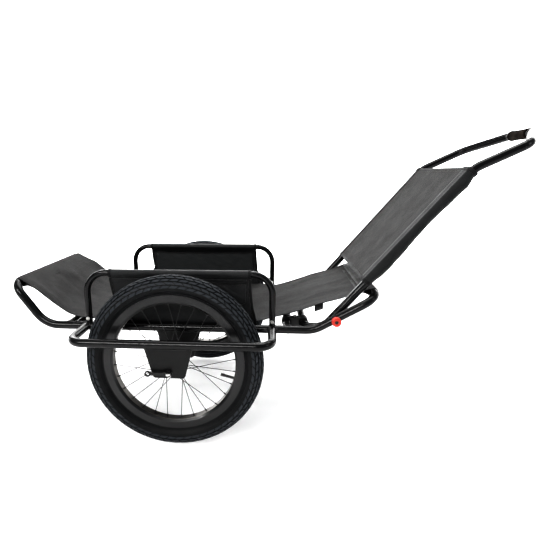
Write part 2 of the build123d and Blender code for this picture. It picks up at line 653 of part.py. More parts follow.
def sling():
    """Sleeve round each end crossbar and a curved sheet between, narrower by the handle."""
    line = Spline(*[(x, 0, z) for x, z in SLING_SAMPLES])
    back = Spline(*[(x, 0, z + FABRIC) for x, z in SLING_SAMPLES])
    ends = Line(line @ 1, back @ 1) + Line(line @ 0, back @ 0)
    sheet = extrude(make_face(Wire((line + back + ends).edges())), 2 * SLING_HALF_WIDE, dir=(0, 1, 0))
    sheet = Pos(0, -SLING_HALF_WIDE, 0) * sheet
    outline = [(FRONT_BAR_X - 40, SLING_HALF_WIDE), (240, SLING_HALF_WIDE)]
    outline += [(300, SLING_HALF_NARROW), (REAR_BAR_X + 40, SLING_HALF_NARROW)]
    outline = outline + [(x, -y) for x, y in reversed(outline)]
    plan = extrude(make_face(Polyline(*outline, close=True)), 600)
    front_half = RAIL_Y - FRONT_CORNER_RADIUS - 1
    rear_half = RAIL_Y - REAR_CORNER_RADIUS - 1
    front = crossbar_sleeve(FRONT_BAR_X, FRONT_BAR_Z, front_half)
    rear = crossbar_sleeve(REAR_BAR_X, REAR_BAR_Z, rear_half)
    return largest((sheet & plan) + front + rear - frame_loop(SLEEVE_RADIUS))


def crossbar_sleeve(x, z, half):
    return rod((x, -half, z), (x, half, z), SLEEVE_RADIUS + FABRIC, SLEEVE_RADIUS)


def handle_panel():
    """A flat sheet tangent to the handle's side tubes, with a sleeve round each of them."""
    start = Vector(563.0, 0, RAIL_Z + (563.0 - HANDLE_BEND_X) * HANDLE_SLOPE)
    length = 424.0
    sleeves = [
        rod(
            start + Vector(0, side * HANDLE_Y, 0),
            start + Vector(0, side * HANDLE_Y, 0) + HANDLE_DIRECTION * length,
            SLEEVE_RADIUS + FABRIC,
            SLEEVE_RADIUS,
        )
        for side in (1, -1)
    ]
    lift = SLEEVE_RADIUS + FABRIC / 2
    middle = start + HANDLE_DIRECTION * (length / 2) + HANDLE_NORMAL * lift
    sheet = Plane(origin=middle, x_dir=HANDLE_DIRECTION, z_dir=HANDLE_NORMAL) * Box(length, 2 * HANDLE_Y, FABRIC)
    return sheet + sleeves[0] + sleeves[1]


def side_panel():
    """A sleeve round the hoop's top bar and a sheet that slopes in to the edge of the bed."""
    hoop_sleeve = HOOP_RADIUS + SLEEVE_GAP
    front, rear = PANEL_TOP_X
    sleeve = rod((front, RAIL_Y, HOOP_TOP_Z), (rear, RAIL_Y, HOOP_TOP_Z), hoop_sleeve + FABRIC, hoop_sleeve)
    top_z = HOOP_TOP_Z - hoop_sleeve - FABRIC / 2
    low_front, low_rear = PANEL_LOW_X
    half = FABRIC / 2
    band = [(RAIL_Y - half, top_z), (RAIL_Y + half, top_z)]
    band += [(PANEL_LOW_Y + half, PANEL_LOW_Z), (PANEL_LOW_Y - half, PANEL_LOW_Z)]
    face = make_face(Polyline(*[(front - 40, y, z) for y, z in band], close=True))
    sheet = extrude(face, rear - front + 80, dir=(1, 0, 0))
    outline = [(front, top_z + 5), (rear, top_z + 5), (low_rear, PANEL_LOW_Z - 5), (low_front, PANEL_LOW_Z - 5)]
    return (sheet & side_extrusion(outline, RAIL_Y - 30, RAIL_Y + 30)) + sleeve


def side_pouch():
    """A flat pouch on the outer face of a side panel."""
    lean = (RAIL_Y - PANEL_LOW_Y) / (HOOP_TOP_Z - PANEL_LOW_Z)
    low_z, high_z = 420.0, 490.0
    low_y = PANEL_LOW_Y + (low_z - PANEL_LOW_Z) * lean + 2.0
    high_y = PANEL_LOW_Y + (high_z - PANEL_LOW_Z) * lean + 2.0
    band = [(low_y, low_z), (low_y + 3, low_z), (high_y + 3, high_z), (high_y, high_z)]
    face = make_face(Polyline(*[(70, y, z) for y, z in band], close=True))
    return extrude(face, 140, dir=(1, 0, 0))


keep("bed_sling", sling())
keep("handle_panel", handle_panel())
keep_pair("side_panel", side_panel())
keep_pair("side_pouch", side_pouch())

for name, shape in parts.items():
    export_step(shape, f"parts/{name}.step")
print(len(parts), "nodes; lock at", round(LOCK_X, 2), round(LOCK_Z, 2), "knee z", round(HANDLE_KNEE_Z, 2))
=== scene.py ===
import math

import bmesh
import bpy
from mathutils import Matrix, Vector, noise


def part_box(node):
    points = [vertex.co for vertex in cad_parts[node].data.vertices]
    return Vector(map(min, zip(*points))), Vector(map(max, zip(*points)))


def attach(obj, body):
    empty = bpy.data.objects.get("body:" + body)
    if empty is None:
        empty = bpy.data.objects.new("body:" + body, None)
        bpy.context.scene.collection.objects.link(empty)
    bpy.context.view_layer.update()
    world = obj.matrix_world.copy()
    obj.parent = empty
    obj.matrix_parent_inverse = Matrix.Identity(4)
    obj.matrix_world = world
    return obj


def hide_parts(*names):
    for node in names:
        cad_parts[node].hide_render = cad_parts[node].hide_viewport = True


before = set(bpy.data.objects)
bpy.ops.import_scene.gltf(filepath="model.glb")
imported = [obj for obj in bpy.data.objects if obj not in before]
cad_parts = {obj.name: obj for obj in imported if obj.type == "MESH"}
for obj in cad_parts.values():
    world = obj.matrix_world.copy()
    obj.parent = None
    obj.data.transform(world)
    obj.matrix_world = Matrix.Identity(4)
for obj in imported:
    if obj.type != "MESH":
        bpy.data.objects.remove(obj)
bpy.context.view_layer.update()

# Two-wheeled game cart. Lengths here are millimetres; make_piece() turns them into metres.
MM = 0.001

# ---- sizes shared with the CAD parts ---------------------------------------------------------
TUBE_RADIUS = 12.7
HOOP_RADIUS = 9.5
FABRIC = 1.4
SLEEVE = TUBE_RADIUS + 1.1            # middle of the cloth of a sleeve round a frame tube
HOOP_SLEEVE = HOOP_RADIUS + 1.1


def box_mm(node):
    low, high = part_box(node)
    return low / MM, high / MM


frame_low, frame_high = box_mm("main_frame")
rail_high = box_mm("rear_cross_tube")[1]
hoop_high = box_mm("side_hoop_left")[1]
tyre_low, tyre_high = box_mm("tyre_left")

RAIL_Y = frame_high.y - TUBE_RADIUS
RAIL_Z = rail_high.z - TUBE_RADIUS
FRONT_BAR = Vector((frame_low.x + TUBE_RADIUS, 0, frame_high.z - TUBE_RADIUS))
REAR_BAR = Vector((frame_high.x - TUBE_RADIUS, 0, 451.5))
FRONT_CROSS_X = (-347.0, -320.5)
REAR_CROSS_X = 335.0
GUARD_X = 287.0
GUARD_Y = 380.0
HOOP_TOP_Z = hoop_high.z - HOOP_RADIUS
WHEEL_CENTRE = (tyre_low + tyre_high) / 2
WHEEL_RADIUS = (tyre_high.z - tyre_low.z) / 2
TYRE_SECTION = (tyre_high.y - tyre_low.y) / 2
RIM_INNER_RADIUS = 182.0
HANDLE_Y = 212.0
HANDLE_BEND_X = 444.6
HANDLE_ANGLE = math.radians(50)
HANDLE_ALONG = Vector((math.cos(HANDLE_ANGLE), 0, math.sin(HANDLE_ANGLE)))
HANDLE_UP = Vector((-HANDLE_ALONG.z, 0, HANDLE_ALONG.x))
PANEL_START_X = 563.0
PANEL_LENGTH = 424.0


# ---- small helpers ---------------------------------------------------------------------------
def smoothstep(value, low, high):
    t = min(1.0, max(0.0, (value - low) / (high - low)))
    return t * t * (3 - 2 * t)


def mixed(a, b, t):
    return a + (b - a) * t


def wobble(x, y, z=0.0):
    """Smooth repeatable noise, about -1 to 1."""
    return noise.noise(Vector((x, y, z)))


def arc(centre, radius, start, end, count):
    """Points (x, z) round a centre, from one angle to another, in degrees."""
    points = []
    for step in range(count + 1):
        angle = math.radians(mixed(start, end, step / count))
        points.append(Vector((centre[0] + radius * math.cos(angle), centre[1] + radius * math.sin(angle))))
    return points


def smooth_line(points, step):
    """A smooth line through the points, cut into even steps."""
    points = [Vector(p) for p in points]
    fine = []
    for i in range(len(points) - 1):
        before = points[max(i - 1, 0)]
        a, b = points[i], points[i + 1]
        after = points[min(i + 2, len(points) - 1)]
        for k in range(10):
            t = k / 10
            fine.append(
                0.5 * (2 * a + (b - before) * t + (2 * before - 5 * a + 4 * b - after) * t * t
                       + (3 * a - before - 3 * b + after) * t * t * t)
            )
    fine.append(points[-1])
    return even_steps(fine, step)


def even_steps(points, step):
    lengths = [0.0]
    for a, b in zip(points, points[1:]):
        lengths.append(lengths[-1] + (b - a).length)
    count = max(2, round(lengths[-1] / step))
    result, at = [], 0
    for k in range(count + 1):
        target = lengths[-1] * k / count
        while at < len(points) - 2 and lengths[at + 1] < target:
            at += 1
        run = max(lengths[at + 1] - lengths[at], 1e-9)
        result.append(points[at].lerp(points[at + 1], (target - lengths[at]) / run))
    return result


def grid_faces(rows, columns, wrap_rows=False, wrap_columns=False):
    faces = []
    for r in range(rows if wrap_rows else rows - 1):
        below = (r + 1) % rows
        for c in range(columns if wrap_columns else columns - 1):
            right = (c + 1) % columns
            faces.append((r * columns + c, r * columns + right, below * columns + right, below * columns + c))
    return faces


def make_piece(name, points, faces, material, body, uvs=None, sharp=None):
    """A mesh object from points in millimetres; sharp is the edge angle that stays crisp."""
    mesh = bpy.data.meshes.new(name)
    mesh.from_pydata([Vector(p) * MM for p in points], [], faces)
    if uvs:
        layer = mesh.uv_layers.new(name="cloth")
        corners = [0] * len(mesh.loops)
        mesh.loops.foreach_get("vertex_index", corners)
        layer.data.foreach_set("uv", [value for corner in corners for value in uvs[corner]])
    edit = bmesh.new()
    edit.from_mesh(mesh)
    bmesh.ops.recalc_face_normals(edit, faces=edit.faces)
    edit.to_mesh(mesh)
    edit.free()
    mesh.shade_smooth()
    if sharp:
        mesh.set_sharp_from_angle(angle=math.radians(sharp))
    mesh.materials.append(material)
    piece = bpy.data.objects.new(name, mesh)
    bpy.context.scene.collection.objects.link(piece)
    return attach(piece, body)


def both_sides():
    return (("left", 1), ("right", -1))


# ---- materials -------------------------------------------------------------------------------
class Look:
    """One material: a Principled shader, and helpers that add nodes and join them."""

    def __init__(self, name, roughness=0.5, metallic=0.0, coat=0.0, sheen=0.0):
        self.material = bpy.data.materials.new(name)
        self.material.use_nodes = True
        self.tree = self.material.node_tree
        self.shader = self.tree.nodes["Principled BSDF"]
        self.set("Roughness", roughness)
        self.set("Metallic", metallic)
        self.set("Coat Weight", coat)
        self.set("Coat Roughness", 0.12)
        self.set("Sheen Weight", sheen)
        self.place = self.add("ShaderNodeTexCoord").outputs["Object"]

    def feed(self, socket, value):
        if isinstance(value, bpy.types.NodeSocket):
            self.tree.links.new(value, socket)
        else:
            socket.default_value = value

    def set(self, name, value):
        if isinstance(value, tuple) and len(value) == 3:
            value = (*value, 1.0)
        self.feed(self.shader.inputs[name], value)

    def add(self, kind, inputs=None, **settings):
        node = self.tree.nodes.new(kind)
        for key, value in settings.items():
            setattr(node, key, value)
        for key, value in (inputs or {}).items():
            self.feed(node.inputs[key], value)
        return node

    def math(self, operation, a, b=0.0):
        return self.add("ShaderNodeMath", {0: a, 1: b}, operation=operation).outputs[0]

    def span(self, value, low, high, to_low=0.0, to_high=1.0):
        inputs = {"Value": value, "From Min": low, "From Max": high, "To Min": to_low, "To Max": to_high}
        return self.add("ShaderNodeMapRange", inputs).outputs[0]

    def noise(self, scale, detail=3.0, stretch=(1, 1, 1), place=None):
        mapping = self.add("ShaderNodeMapping", {"Vector": place or self.place, "Scale": stretch})
        inputs = {"Vector": mapping.outputs[0], "Scale": scale, "Detail": detail}
        return self.add("ShaderNodeTexNoise", inputs).outputs[0]

    def colour(self, factor, a, b):
        node = self.add("ShaderNodeMix", data_type="RGBA")
        self.feed(node.inputs["Factor"], factor)
        for socket, value in ((node.inputs[6], a), (node.inputs[7], b)):
            self.feed(socket, (*value, 1.0) if isinstance(value, tuple) else value)
        return node.outputs[2]

    def bump(self, height, distance, strength=1.0, under=None):
        inputs = {"Height": height, "Distance": distance, "Strength": strength}
        if under:
            inputs["Normal"] = under
        return self.add("ShaderNodeBump", inputs).outputs[0]

    def upward(self, low, high):
        """How far the surface faces up, for the dust that settles on it."""
        normal = self.add("ShaderNodeNewGeometry").outputs["Normal"]
        return self.span(self.add("ShaderNodeSeparateXYZ", {0: normal}).outputs[2], low, high)


def powder_coat(name, dark, light, roughness):
    """Painted steel: fine orange-peel, soft cloudy gloss, a little dust on top, thin rub marks."""
    look = Look(name)
    look.set("Specular IOR Level", 0.30)
    cloud = look.noise(9.0, 4.0)
    rub = look.span(look.noise(34.0, 6.0, (1, 1, 3.5)), 0.70, 0.78)
    dust = look.math("MULTIPLY", look.upward(0.55, 1.0), look.span(look.noise(26.0, 6.0), 0.42, 0.8))
    base = look.colour(look.span(cloud, 0.35, 0.65), dark, light)
    base = look.colour(look.math("MULTIPLY", rub, 0.14), base, (0.075, 0.075, 0.078))
    base = look.colour(look.math("MULTIPLY", dust, 0.05), base, (0.16, 0.15, 0.14))
    look.set("Base Color", base)
    grain = look.span(look.noise(60.0, 5.0), 0.3, 0.7, roughness - 0.02, roughness + 0.03)
    look.set("Roughness", look.math("ADD", grain, look.math("MULTIPLY", rub, 0.08)))
    peel = look.bump(look.noise(620.0, 2.0), 0.0001, 0.12)
    look.set("Normal", look.bump(look.noise(140.0, 3.0), 0.0002, 0.04, peel))
    return look.material


def metal(name, dark, light, roughness, grain=(1, 1, 1), grain_scale=420.0):
    """Plated or machined steel with tool marks, cloudy plating and a few darker stains."""
    look = Look(name, metallic=1.0)
    stain = look.span(look.noise(70.0, 5.0), 0.45, 0.7)
    look.set("Base Color", look.colour(stain, light, dark))
    marks = look.noise(grain_scale, 4.0, grain)
    look.set("Roughness", look.span(marks, 0.3, 0.7, roughness - 0.08, roughness + 0.12))
    look.set("Normal", look.bump(marks, 0.0002, 0.25))
    return look.material


def moulded(name, dark, light, roughness, texture_scale=900.0, specular=0.5):
    """Moulded plastic or rubber with a fine texture, faint flow clouds and roughness that varies in patches.
    """
    look = Look(name)
    cloud = look.span(look.noise(38.0, 5.0), 0.35, 0.68)
    look.set("Base Color", look.colour(cloud, dark, light))
    look.set("Specular IOR Level", specular)
    texture = look.noise(texture_scale, 3.0)
    look.set("Roughness", look.span(look.noise(90.0, 4.0), 0.3, 0.7, roughness - 0.07, roughness + 0.1))
    look.set("Normal", look.bump(texture, 0.0003, 0.45))
    return look.material


def weave(look, pitch):
    """Height of a plain weave over the cloth's own flat coordinates, and those coordinates."""
    flat = look.add("ShaderNodeUVMap", uv_map="cloth").outputs[0]
    parts = look.add("ShaderNodeSeparateXYZ", {0: flat}).outputs
    along = look.math("SINE", look.math("MULTIPLY", parts[0], math.pi / pitch))
    across = look.math("SINE", look.math("MULTIPLY", parts[1], math.pi / pitch))
    over = look.math("GREATER_THAN", look.math("MULTIPLY", along, across), 0.0)
    warp = look.math("MULTIPLY", look.math("ABSOLUTE", along), over)
    weft = look.math("MULTIPLY", look.math("ABSOLUTE", across), look.math("SUBTRACT", 1.0, over))
    return look.math("ADD", warp, weft), flat


def woven(name, dark, light, pitch, roughness, sheen, crease, specular=0.4):
    """Woven cloth: interlaced yarns, slubs both ways, faded patches, small creases and lint, and painted
    shade in the weave's low points.
    """
    look = Look(name, sheen=sheen)
    look.set("Specular IOR Level", specular)
    height, flat = weave(look, pitch)
    slub_along = look.noise(40.0, 3.0, (1, 26, 1), flat)
    slub_across = look.noise(40.0, 3.0, (26, 1, 1), flat)
    slub = look.span(look.math("ADD", slub_along, slub_across), 0.75, 1.25)
    faded = look.span(look.noise(5.5, 5.0), 0.32, 0.7)
    lint = look.span(look.noise(330.0, 2.0), 0.72, 0.8)
    middle = tuple((a + b) / 2 for a, b in zip(dark, light))
    yarn = look.colour(slub, dark, light)
    yarn = look.colour(look.math("MULTIPLY", faded, 0.4), yarn, middle)
    # Painted shade: the low points of the weave, between the yarns, are darkened towards 0.45 of the dark
    # tone.
    yarn = look.colour(look.span(height, 0.0, 0.9), tuple(0.45 * v for v in dark), yarn)
    yarn = look.colour(look.math("MULTIPLY", lint, 0.10), yarn, (0.30, 0.29, 0.28))
    look.set("Base Color", yarn)
    look.set("Roughness", look.span(look.noise(24.0, 5.0), 0.3, 0.7, roughness - 0.07, roughness + 0.07))
    rumple = look.bump(look.noise(26.0, 6.0), crease, 0.35)
    folds = look.bump(look.noise(75.0, 3.0, (1, 3, 1), flat), crease / 2, 0.3, rumple)
    look.set("Normal", look.bump(height, pitch / 3, 0.55, folds))
    return look.material


def thread(name, tone):
    look = Look(name, roughness=0.7, sheen=0.3)
    twist = look.noise(1500.0, 2.0, (1, 1, 4))
    look.set("Base Color", look.colour(twist, tuple(0.6 * v for v in tone), tone))
    look.set("Normal", look.bump(twist, 0.0002, 0.6))
    return look.material


def wheel_distance(look):
    """Distance from a wheel's axle, and distance sideways from the wheel's middle plane, in metres."""
    x, y, z = look.add("ShaderNodeSeparateXYZ", {0: look.place}).outputs
    up = look.math("SUBTRACT", z, WHEEL_CENTRE.z * MM)
    square = look.math("ADD", look.math("MULTIPLY", x, x), look.math("MULTIPLY", up, up))
    side = look.math("SUBTRACT", look.math("ABSOLUTE", y), WHEEL_CENTRE.y * MM)
    return look.math("SQRT", square), side


def tyre_rubber(name):
    """Black rubber: worn grey block tops, dusty grooves, and a smoother sidewall with fine rings."""
    look = Look(name)
    look.set("Specular IOR Level", 0.20)
    radius, side = wheel_distance(look)
    out = look.math("SUBTRACT", radius, (WHEEL_RADIUS - TYRE_SECTION) * MM)
    square = look.math("ADD", look.math("MULTIPLY", out, out), look.math("MULTIPLY", side, side))
    section = look.math("SQRT", square)
    top = look.span(section, (TYRE_SECTION - 1.2) * MM, (TYRE_SECTION - 0.3) * MM)
    crown = look.span(out, -0.009, -0.005)
    worn = look.math("MULTIPLY", top, crown)
    cloud = look.span(look.noise(24.0, 6.0), 0.3, 0.72)
    base = look.colour(cloud, (0.0030, 0.0032, 0.0036), (0.0065, 0.0070, 0.0078))
    base = look.colour(look.math("MULTIPLY", worn, 0.85), base, (0.034, 0.038, 0.043))
    dust = look.math("MULTIPLY", look.span(look.noise(60.0, 6.0), 0.5, 0.78), crown)
    look.set("Base Color", look.colour(look.math("MULTIPLY", dust, 0.10), base, (0.09, 0.09, 0.085)))
    look.set("Roughness", look.span(worn, 0.0, 1.0, 0.50, 0.62))
    rings = look.math("SINE", look.math("MULTIPLY", radius, 2 * math.pi / 0.0021))
    ringed = look.bump(look.math("MULTIPLY", rings, look.span(out, -0.006, -0.009)), 0.00012, 0.5)
    look.set("Normal", look.bump(look.noise(420.0, 4.0), 0.0004, 0.4, ringed))
    return look.material


def rim_finish(name):
    """Black anodised alloy with turning marks, and a bare bright edge at its inner circle that is partly a
    painted highlight.
    """
    look = Look(name, coat=0.2)
    radius, side = wheel_distance(look)
    # Painted highlight, partly a real bare edge: a thin ring at the inner circle turns bright and fully
    # metallic.
    bare_edge_highlight = look.span(radius, (RIM_INNER_RADIUS + 0.9) * MM, (RIM_INNER_RADIUS + 0.4) * MM)
    marks = look.noise(1.0, 3.0, (2500, 1, 1), look.add("ShaderNodeCombineXYZ", {0: radius}).outputs[0])
    cloud = look.span(look.noise(16.0, 4.0), 0.35, 0.65)
    base = look.colour(cloud, (0.0040, 0.0040, 0.0044), (0.0080, 0.0080, 0.0085))
    look.set("Base Color", look.colour(bare_edge_highlight, base, (0.085, 0.080, 0.074)))
    look.set("Metallic", look.span(bare_edge_highlight, 0.0, 1.0, 0.25, 1.0))
    look.set("Roughness", look.span(marks, 0.3, 0.7, 0.26, 0.36))
    look.set("Normal", look.bump(marks, 0.0001, 0.3))
    return look.material


def grey(value):
    return (value, value, value)


materials = {
    "frame_black": powder_coat("powder_black", (0.0028, 0.0028, 0.0030), (0.0060, 0.0060, 0.0064), 0.20),
    "plate_black": powder_coat("plate_black_finish", grey(0.0020), grey(0.0040), 0.42),
    "fastener_steel": metal("zinc_plated_steel", (0.34, 0.33, 0.31), (0.62, 0.62, 0.60), 0.30),
    "clamp_black": powder_coat("clamp_black_finish", grey(0.0085), grey(0.0150), 0.46),
    "spring_steel": metal("spring_steel_finish", grey(0.20), grey(0.38), 0.30),
    "knob_red": moulded("knob_red_plastic", (0.42, 0.022, 0.011), (0.55, 0.040, 0.020), 0.36),
    "grip_rubber": moulded(
        "grip_rubber_finish", (0.010, 0.008, 0.007), (0.024, 0.019, 0.015), 0.78, specular=0.04
    ),
    "tyre": tyre_rubber("tyre_rubber_finish"),
    "tube_rubber": moulded("tube_rubber_finish", grey(0.010), grey(0.020), 0.52),
    "rim_black": rim_finish("rim_finish"),
    "spoke_black": moulded("spoke_black_finish", grey(0.006), (0.013, 0.013, 0.014), 0.34),
    "hub_black": powder_coat("hub_black_finish", (0.0070, 0.0070, 0.0075), (0.0130, 0.0130, 0.0140), 0.32),
    "bearing_steel": metal("bearing_steel_finish", grey(0.30), grey(0.50), 0.22),
    "lever_black": powder_coat("lever_black_finish", grey(0.0075), grey(0.0150), 0.34),
}
sling_cloth = woven(
    "sling_cloth", (0.024, 0.0235, 0.0235), (0.045, 0.0437, 0.0428), 0.0011, 0.80, 0.03, 0.0012, 0.18,
)
panel_cloth = woven(
    "panel_cloth", (0.0045, 0.0050, 0.0056), (0.0098, 0.0108, 0.0120), 0.0008, 0.46, 0.04, 0.0022, 0.36,
)
pocket_cloth = woven(
    "pocket_cloth", (0.0120, 0.0138, 0.0142), (0.0210, 0.0240, 0.0248), 0.0008, 0.58, 0.06, 0.0016, 0.35,
)
# Dark sleeve cloth; on the sling's rear sleeve its darkness is partly painted shade.
sleeve_cloth = woven(
    "sleeve_cloth", (0.0045, 0.0050, 0.0054), (0.0100, 0.0108, 0.0114), 0.0009, 0.56, 0.05, 0.0014, 0.30,
)
binding_cloth = woven(
    "binding_cloth", (0.0040, 0.0040, 0.0042), (0.0095, 0.0095, 0.0100), 0.0014, 0.66, 0.05, 0.0006, 0.25,
)
webbing_cloth = woven(
    "webbing_cloth", (0.0070, 0.0070, 0.0072), (0.016, 0.016, 0.017), 0.0019, 0.60, 0.10, 0.0005,
)
grey_thread = thread("grey_thread", grey(0.020))
black_thread = thread("black_thread", (0.030, 0.031, 0.033))
weld_metal = powder_coat("painted_weld", grey(0.0080), grey(0.0150), 0.36)
materials["sling_fabric"] = sling_cloth
materials["panel_fabric"] = panel_cloth


def give_cad_materials():
    """Every CAD part takes the finish of the slot that its record names."""
    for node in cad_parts.values():
        for slot in node.material_slots:
            name = slot.material.name.split(".")[0] if slot.material else ""
            slot.material = materials.get(name, materials["frame_black"])


# ---- cloth -----------------------------------------------------------------------------------
class Cloth:
    """A grid of points, rows by columns, that follows the flat cut of one sheet."""

    def __init__(self, rows, step_rows, step_columns):
        self.rows = rows
        self.step_rows = step_rows
        self.step_columns = step_columns

    def normal(self, r, c):
        rows = self.rows
        last_row, last_column = len(rows) - 1, len(rows[0]) - 1
        down = rows[min(r + 1, last_row)][c] - rows[max(r - 1, 0)][c]
        right = rows[r][min(c + 1, last_column)] - rows[r][max(c - 1, 0)]
        return down.cross(right).normalized()

    def piece(self, name, material, body, slot, thickness=FABRIC):
        columns = len(self.rows[0])
        points = [point for row in self.rows for point in row]
        uvs = [
            (r * self.step_rows * MM, c * self.step_columns * MM)
            for r in range(len(self.rows)) for c in range(columns)
        ]
        made = make_piece(name, points, grid_faces(len(self.rows), columns), material, body, uvs)
        solid = made.modifiers.new("thickness", "SOLIDIFY")
        solid.thickness = thickness * MM
        solid.offset = 0.0
        return made

    def patch(self, rows, columns, lift=None, lifted=None):
        """Part of the grid as a cloth of its own, moved by lift where lifted(row, column) is true."""
        level = Vector()
        patch_rows = [
            [self.rows[r][c] + (lift if lift and lifted(r, c) else level) for c in columns] for r in rows
        ]
        return Cloth(patch_rows, self.step_rows, self.step_columns)

    def row_line(self, r, first=0, last=None):
        """(point, surface normal, direction into the cloth) along a row."""
        last = len(self.rows[0]) - 1 if last is None else last
        inner = r + 2 if r < len(self.rows) / 2 else r - 2
        return [
            (self.rows[r][c], self.normal(r, c), (self.rows[inner][c] - self.rows[r][c]).normalized())
            for c in range(first, last + 1)
        ]

    def column_line(self, c, first=0, last=None):
        last = len(self.rows) - 1 if last is None else last
        inner = c + 2 if c < len(self.rows[0]) / 2 else c - 2
        return [
            (self.rows[r][c], self.normal(r, c), (self.rows[r][inner] - self.rows[r][c]).normalized())
            for r in range(first, last + 1)
        ]


def turned_over(line):
    """The same line with its surface normals reversed."""
    return [(point, -normal, inward) for point, normal, inward in line]


def facing(line, direction):
    """The line with its normals on the side that looks along the direction."""
    return line if line[len(line) // 2][1].dot(direction) > 0 else turned_over(line)


def binding(name, line, width, above, below, material, body):
    """A folded tape round an edge: a flat closed band along the line, thicker at its fold."""
    section = [
        (-1.3, 0.0), (-0.9, 0.75 * above), (0.6, above), (0.5 * width, 0.92 * above),
        (width - 0.7, 0.86 * above), (width, 0.4 * above), (width, -0.4 * below),
        (width - 0.7, -0.86 * below), (0.5 * width, -0.92 * below), (0.6, -below), (-0.9, -0.75 * below),
    ]
    points, uvs, run = [], [], 0.0
    for index, (point, normal, inward) in enumerate(line):
        if index:
            run += (point - line[index - 1][0]).length
        for step, (across, up) in enumerate(section):
            points.append(point + inward * across + normal * up)
            uvs.append((run * MM, step * 2.2 * MM))
    count = len(section)
    faces = grid_faces(len(line), count, wrap_columns=True)
    faces.append(tuple(range(count)))
    faces.append(tuple(range((len(line) - 1) * count, len(line) * count)))
    return make_piece(name, points, faces, material, body, uvs, 50)


def stitches(name, lines, material, body, pitch=4.4, length=3.0, radius=0.42):
    """Lock stitches along each line: short rounded thread pieces lying on the cloth."""
    points, faces = [], []
    rings = ((0.0, 0.35, -0.1), (0.18, 0.9, 0.35), (0.5, 1.0, 0.55), (0.82, 0.9, 0.35), (1.0, 0.35, -0.1))
    sides = 6
    for line, lift in lines:
        path = even_steps([point + normal * lift for point, normal, _ in line], pitch)
        normals = [normal for _, normal, _ in line]
        for k in range(len(path) - 1):
            normal = normals[round(k / max(1, len(path) - 1) * (len(normals) - 1))]
            along = (path[k + 1] - path[k]).normalized()
            side = along.cross(normal).normalized()
            up = side.cross(along)
            first = len(points)
            for share, size, rise in rings:
                centre = path[k] + along * (share * length) + up * (rise * radius)
                for s in range(sides):
                    angle = 2 * math.pi * s / sides
                    offset = side * math.cos(angle) + up * math.sin(angle)
                    points.append(centre + offset * (radius * size))
            for r in range(len(rings) - 1):
                for s in range(sides):
                    near, far = first + r * sides, first + (r + 1) * sides
                    faces.append((near + s, near + (s + 1) % sides, far + (s + 1) % sides, far + s))
            faces.append(tuple(range(first, first + sides)))
            faces.append(tuple(range(first + (len(rings) - 1) * sides, first + len(rings) * sides)))
    return make_piece(name, points, faces, material, body)


def inner_row(line, distance):
    """The line moved into the cloth."""
    return [(point + inward * distance, normal, inward) for point, normal, inward in line]


# ---- bed sling -------------------------------------------------------------------------------
SLING_STEP = 6.0
SLING_COLUMNS = 68
SLING_HALF_WIDE = 226.0
SLING_HALF_NARROW = 192.0
SLING_HALF_FRONT = 216.0
FRONT_CORNER = 40.0
FRONT_ARM = Vector((0.576, 0, -0.817))      # from the front crossbar down the arm
CLOTH_RISE = FABRIC / 2

SLING_BED = [
    (-454, 458), (-420, 430), (-386, 403), (-349, 380), (-300, 368), (-200, 364.5), (0, 363.5),
    (200, 364.5), (280, 369), (321, 376), (387, 399), (441, 418), (507, 437),
]


def sling_path():
    """Side view: round the front bar, down over the bed, up and round the rear bar."""
    tail = ((43.0, -12.0), (34.0, -7.2), (20.0, -10.0))
    front = [Vector((FRONT_BAR.x + x, FRONT_BAR.z + z)) for x, z in tail]
    front += arc((FRONT_BAR.x, FRONT_BAR.z), SLEEVE, -80, -298, 16)
    bed = [Vector((x, z + CLOTH_RISE)) for x, z in SLING_BED]
    rear = arc((REAR_BAR.x, REAR_BAR.z), SLEEVE, 106, -112, 16)
    tail = ((-21.0, -4.6), (-35.0, 0.2), (-46.0, -3.0))
    rear += [Vector((REAR_BAR.x + x, REAR_BAR.z + z)) for x, z in tail]
    return smooth_line(front + bed + rear, SLING_STEP)


def sling_half(x):
    half = mixed(SLING_HALF_WIDE, SLING_HALF_NARROW, smoothstep(x, 240, 300))
    half = mixed(SLING_HALF_FRONT, half, smoothstep(x, -500, -440))
    return half - 3.0 * smoothstep(x, 540, 580)


def sling_fold(x, y):
    """Height of the soft folds: lengthwise on the two slopes, shallow over the bed."""
    slope = smoothstep(x, 300, 380) * (1 - 0.75 * smoothstep(x, 520, 575))
    slope = max(slope, smoothstep(-x, 330, 380) * (1 - 0.8 * smoothstep(-x, 440, 492)))
    bend = 0.7 * math.sin(x / 85.0)
    folds = 1.7 * math.sin(y / 17.0 + bend) * smoothstep(wobble(x / 140, y / 60, 3.0), -0.25, 0.45)
    folds += 1.6 * math.sin(y / 41.0 - 0.8 * bend + 1.1)
    sag = -4.5 * slope * (1 - (y / SLING_HALF_WIDE) ** 2)
    bed = 1 - slope
    shallow = 1.0 * wobble(x / 55, y / 42) + 0.5 * wobble(x / 19, y / 17, 5.0)
    return slope * folds + sag + shallow * (0.45 + 0.3 * bed) - 1.2 * bed * (1 - (y / 226) ** 2)


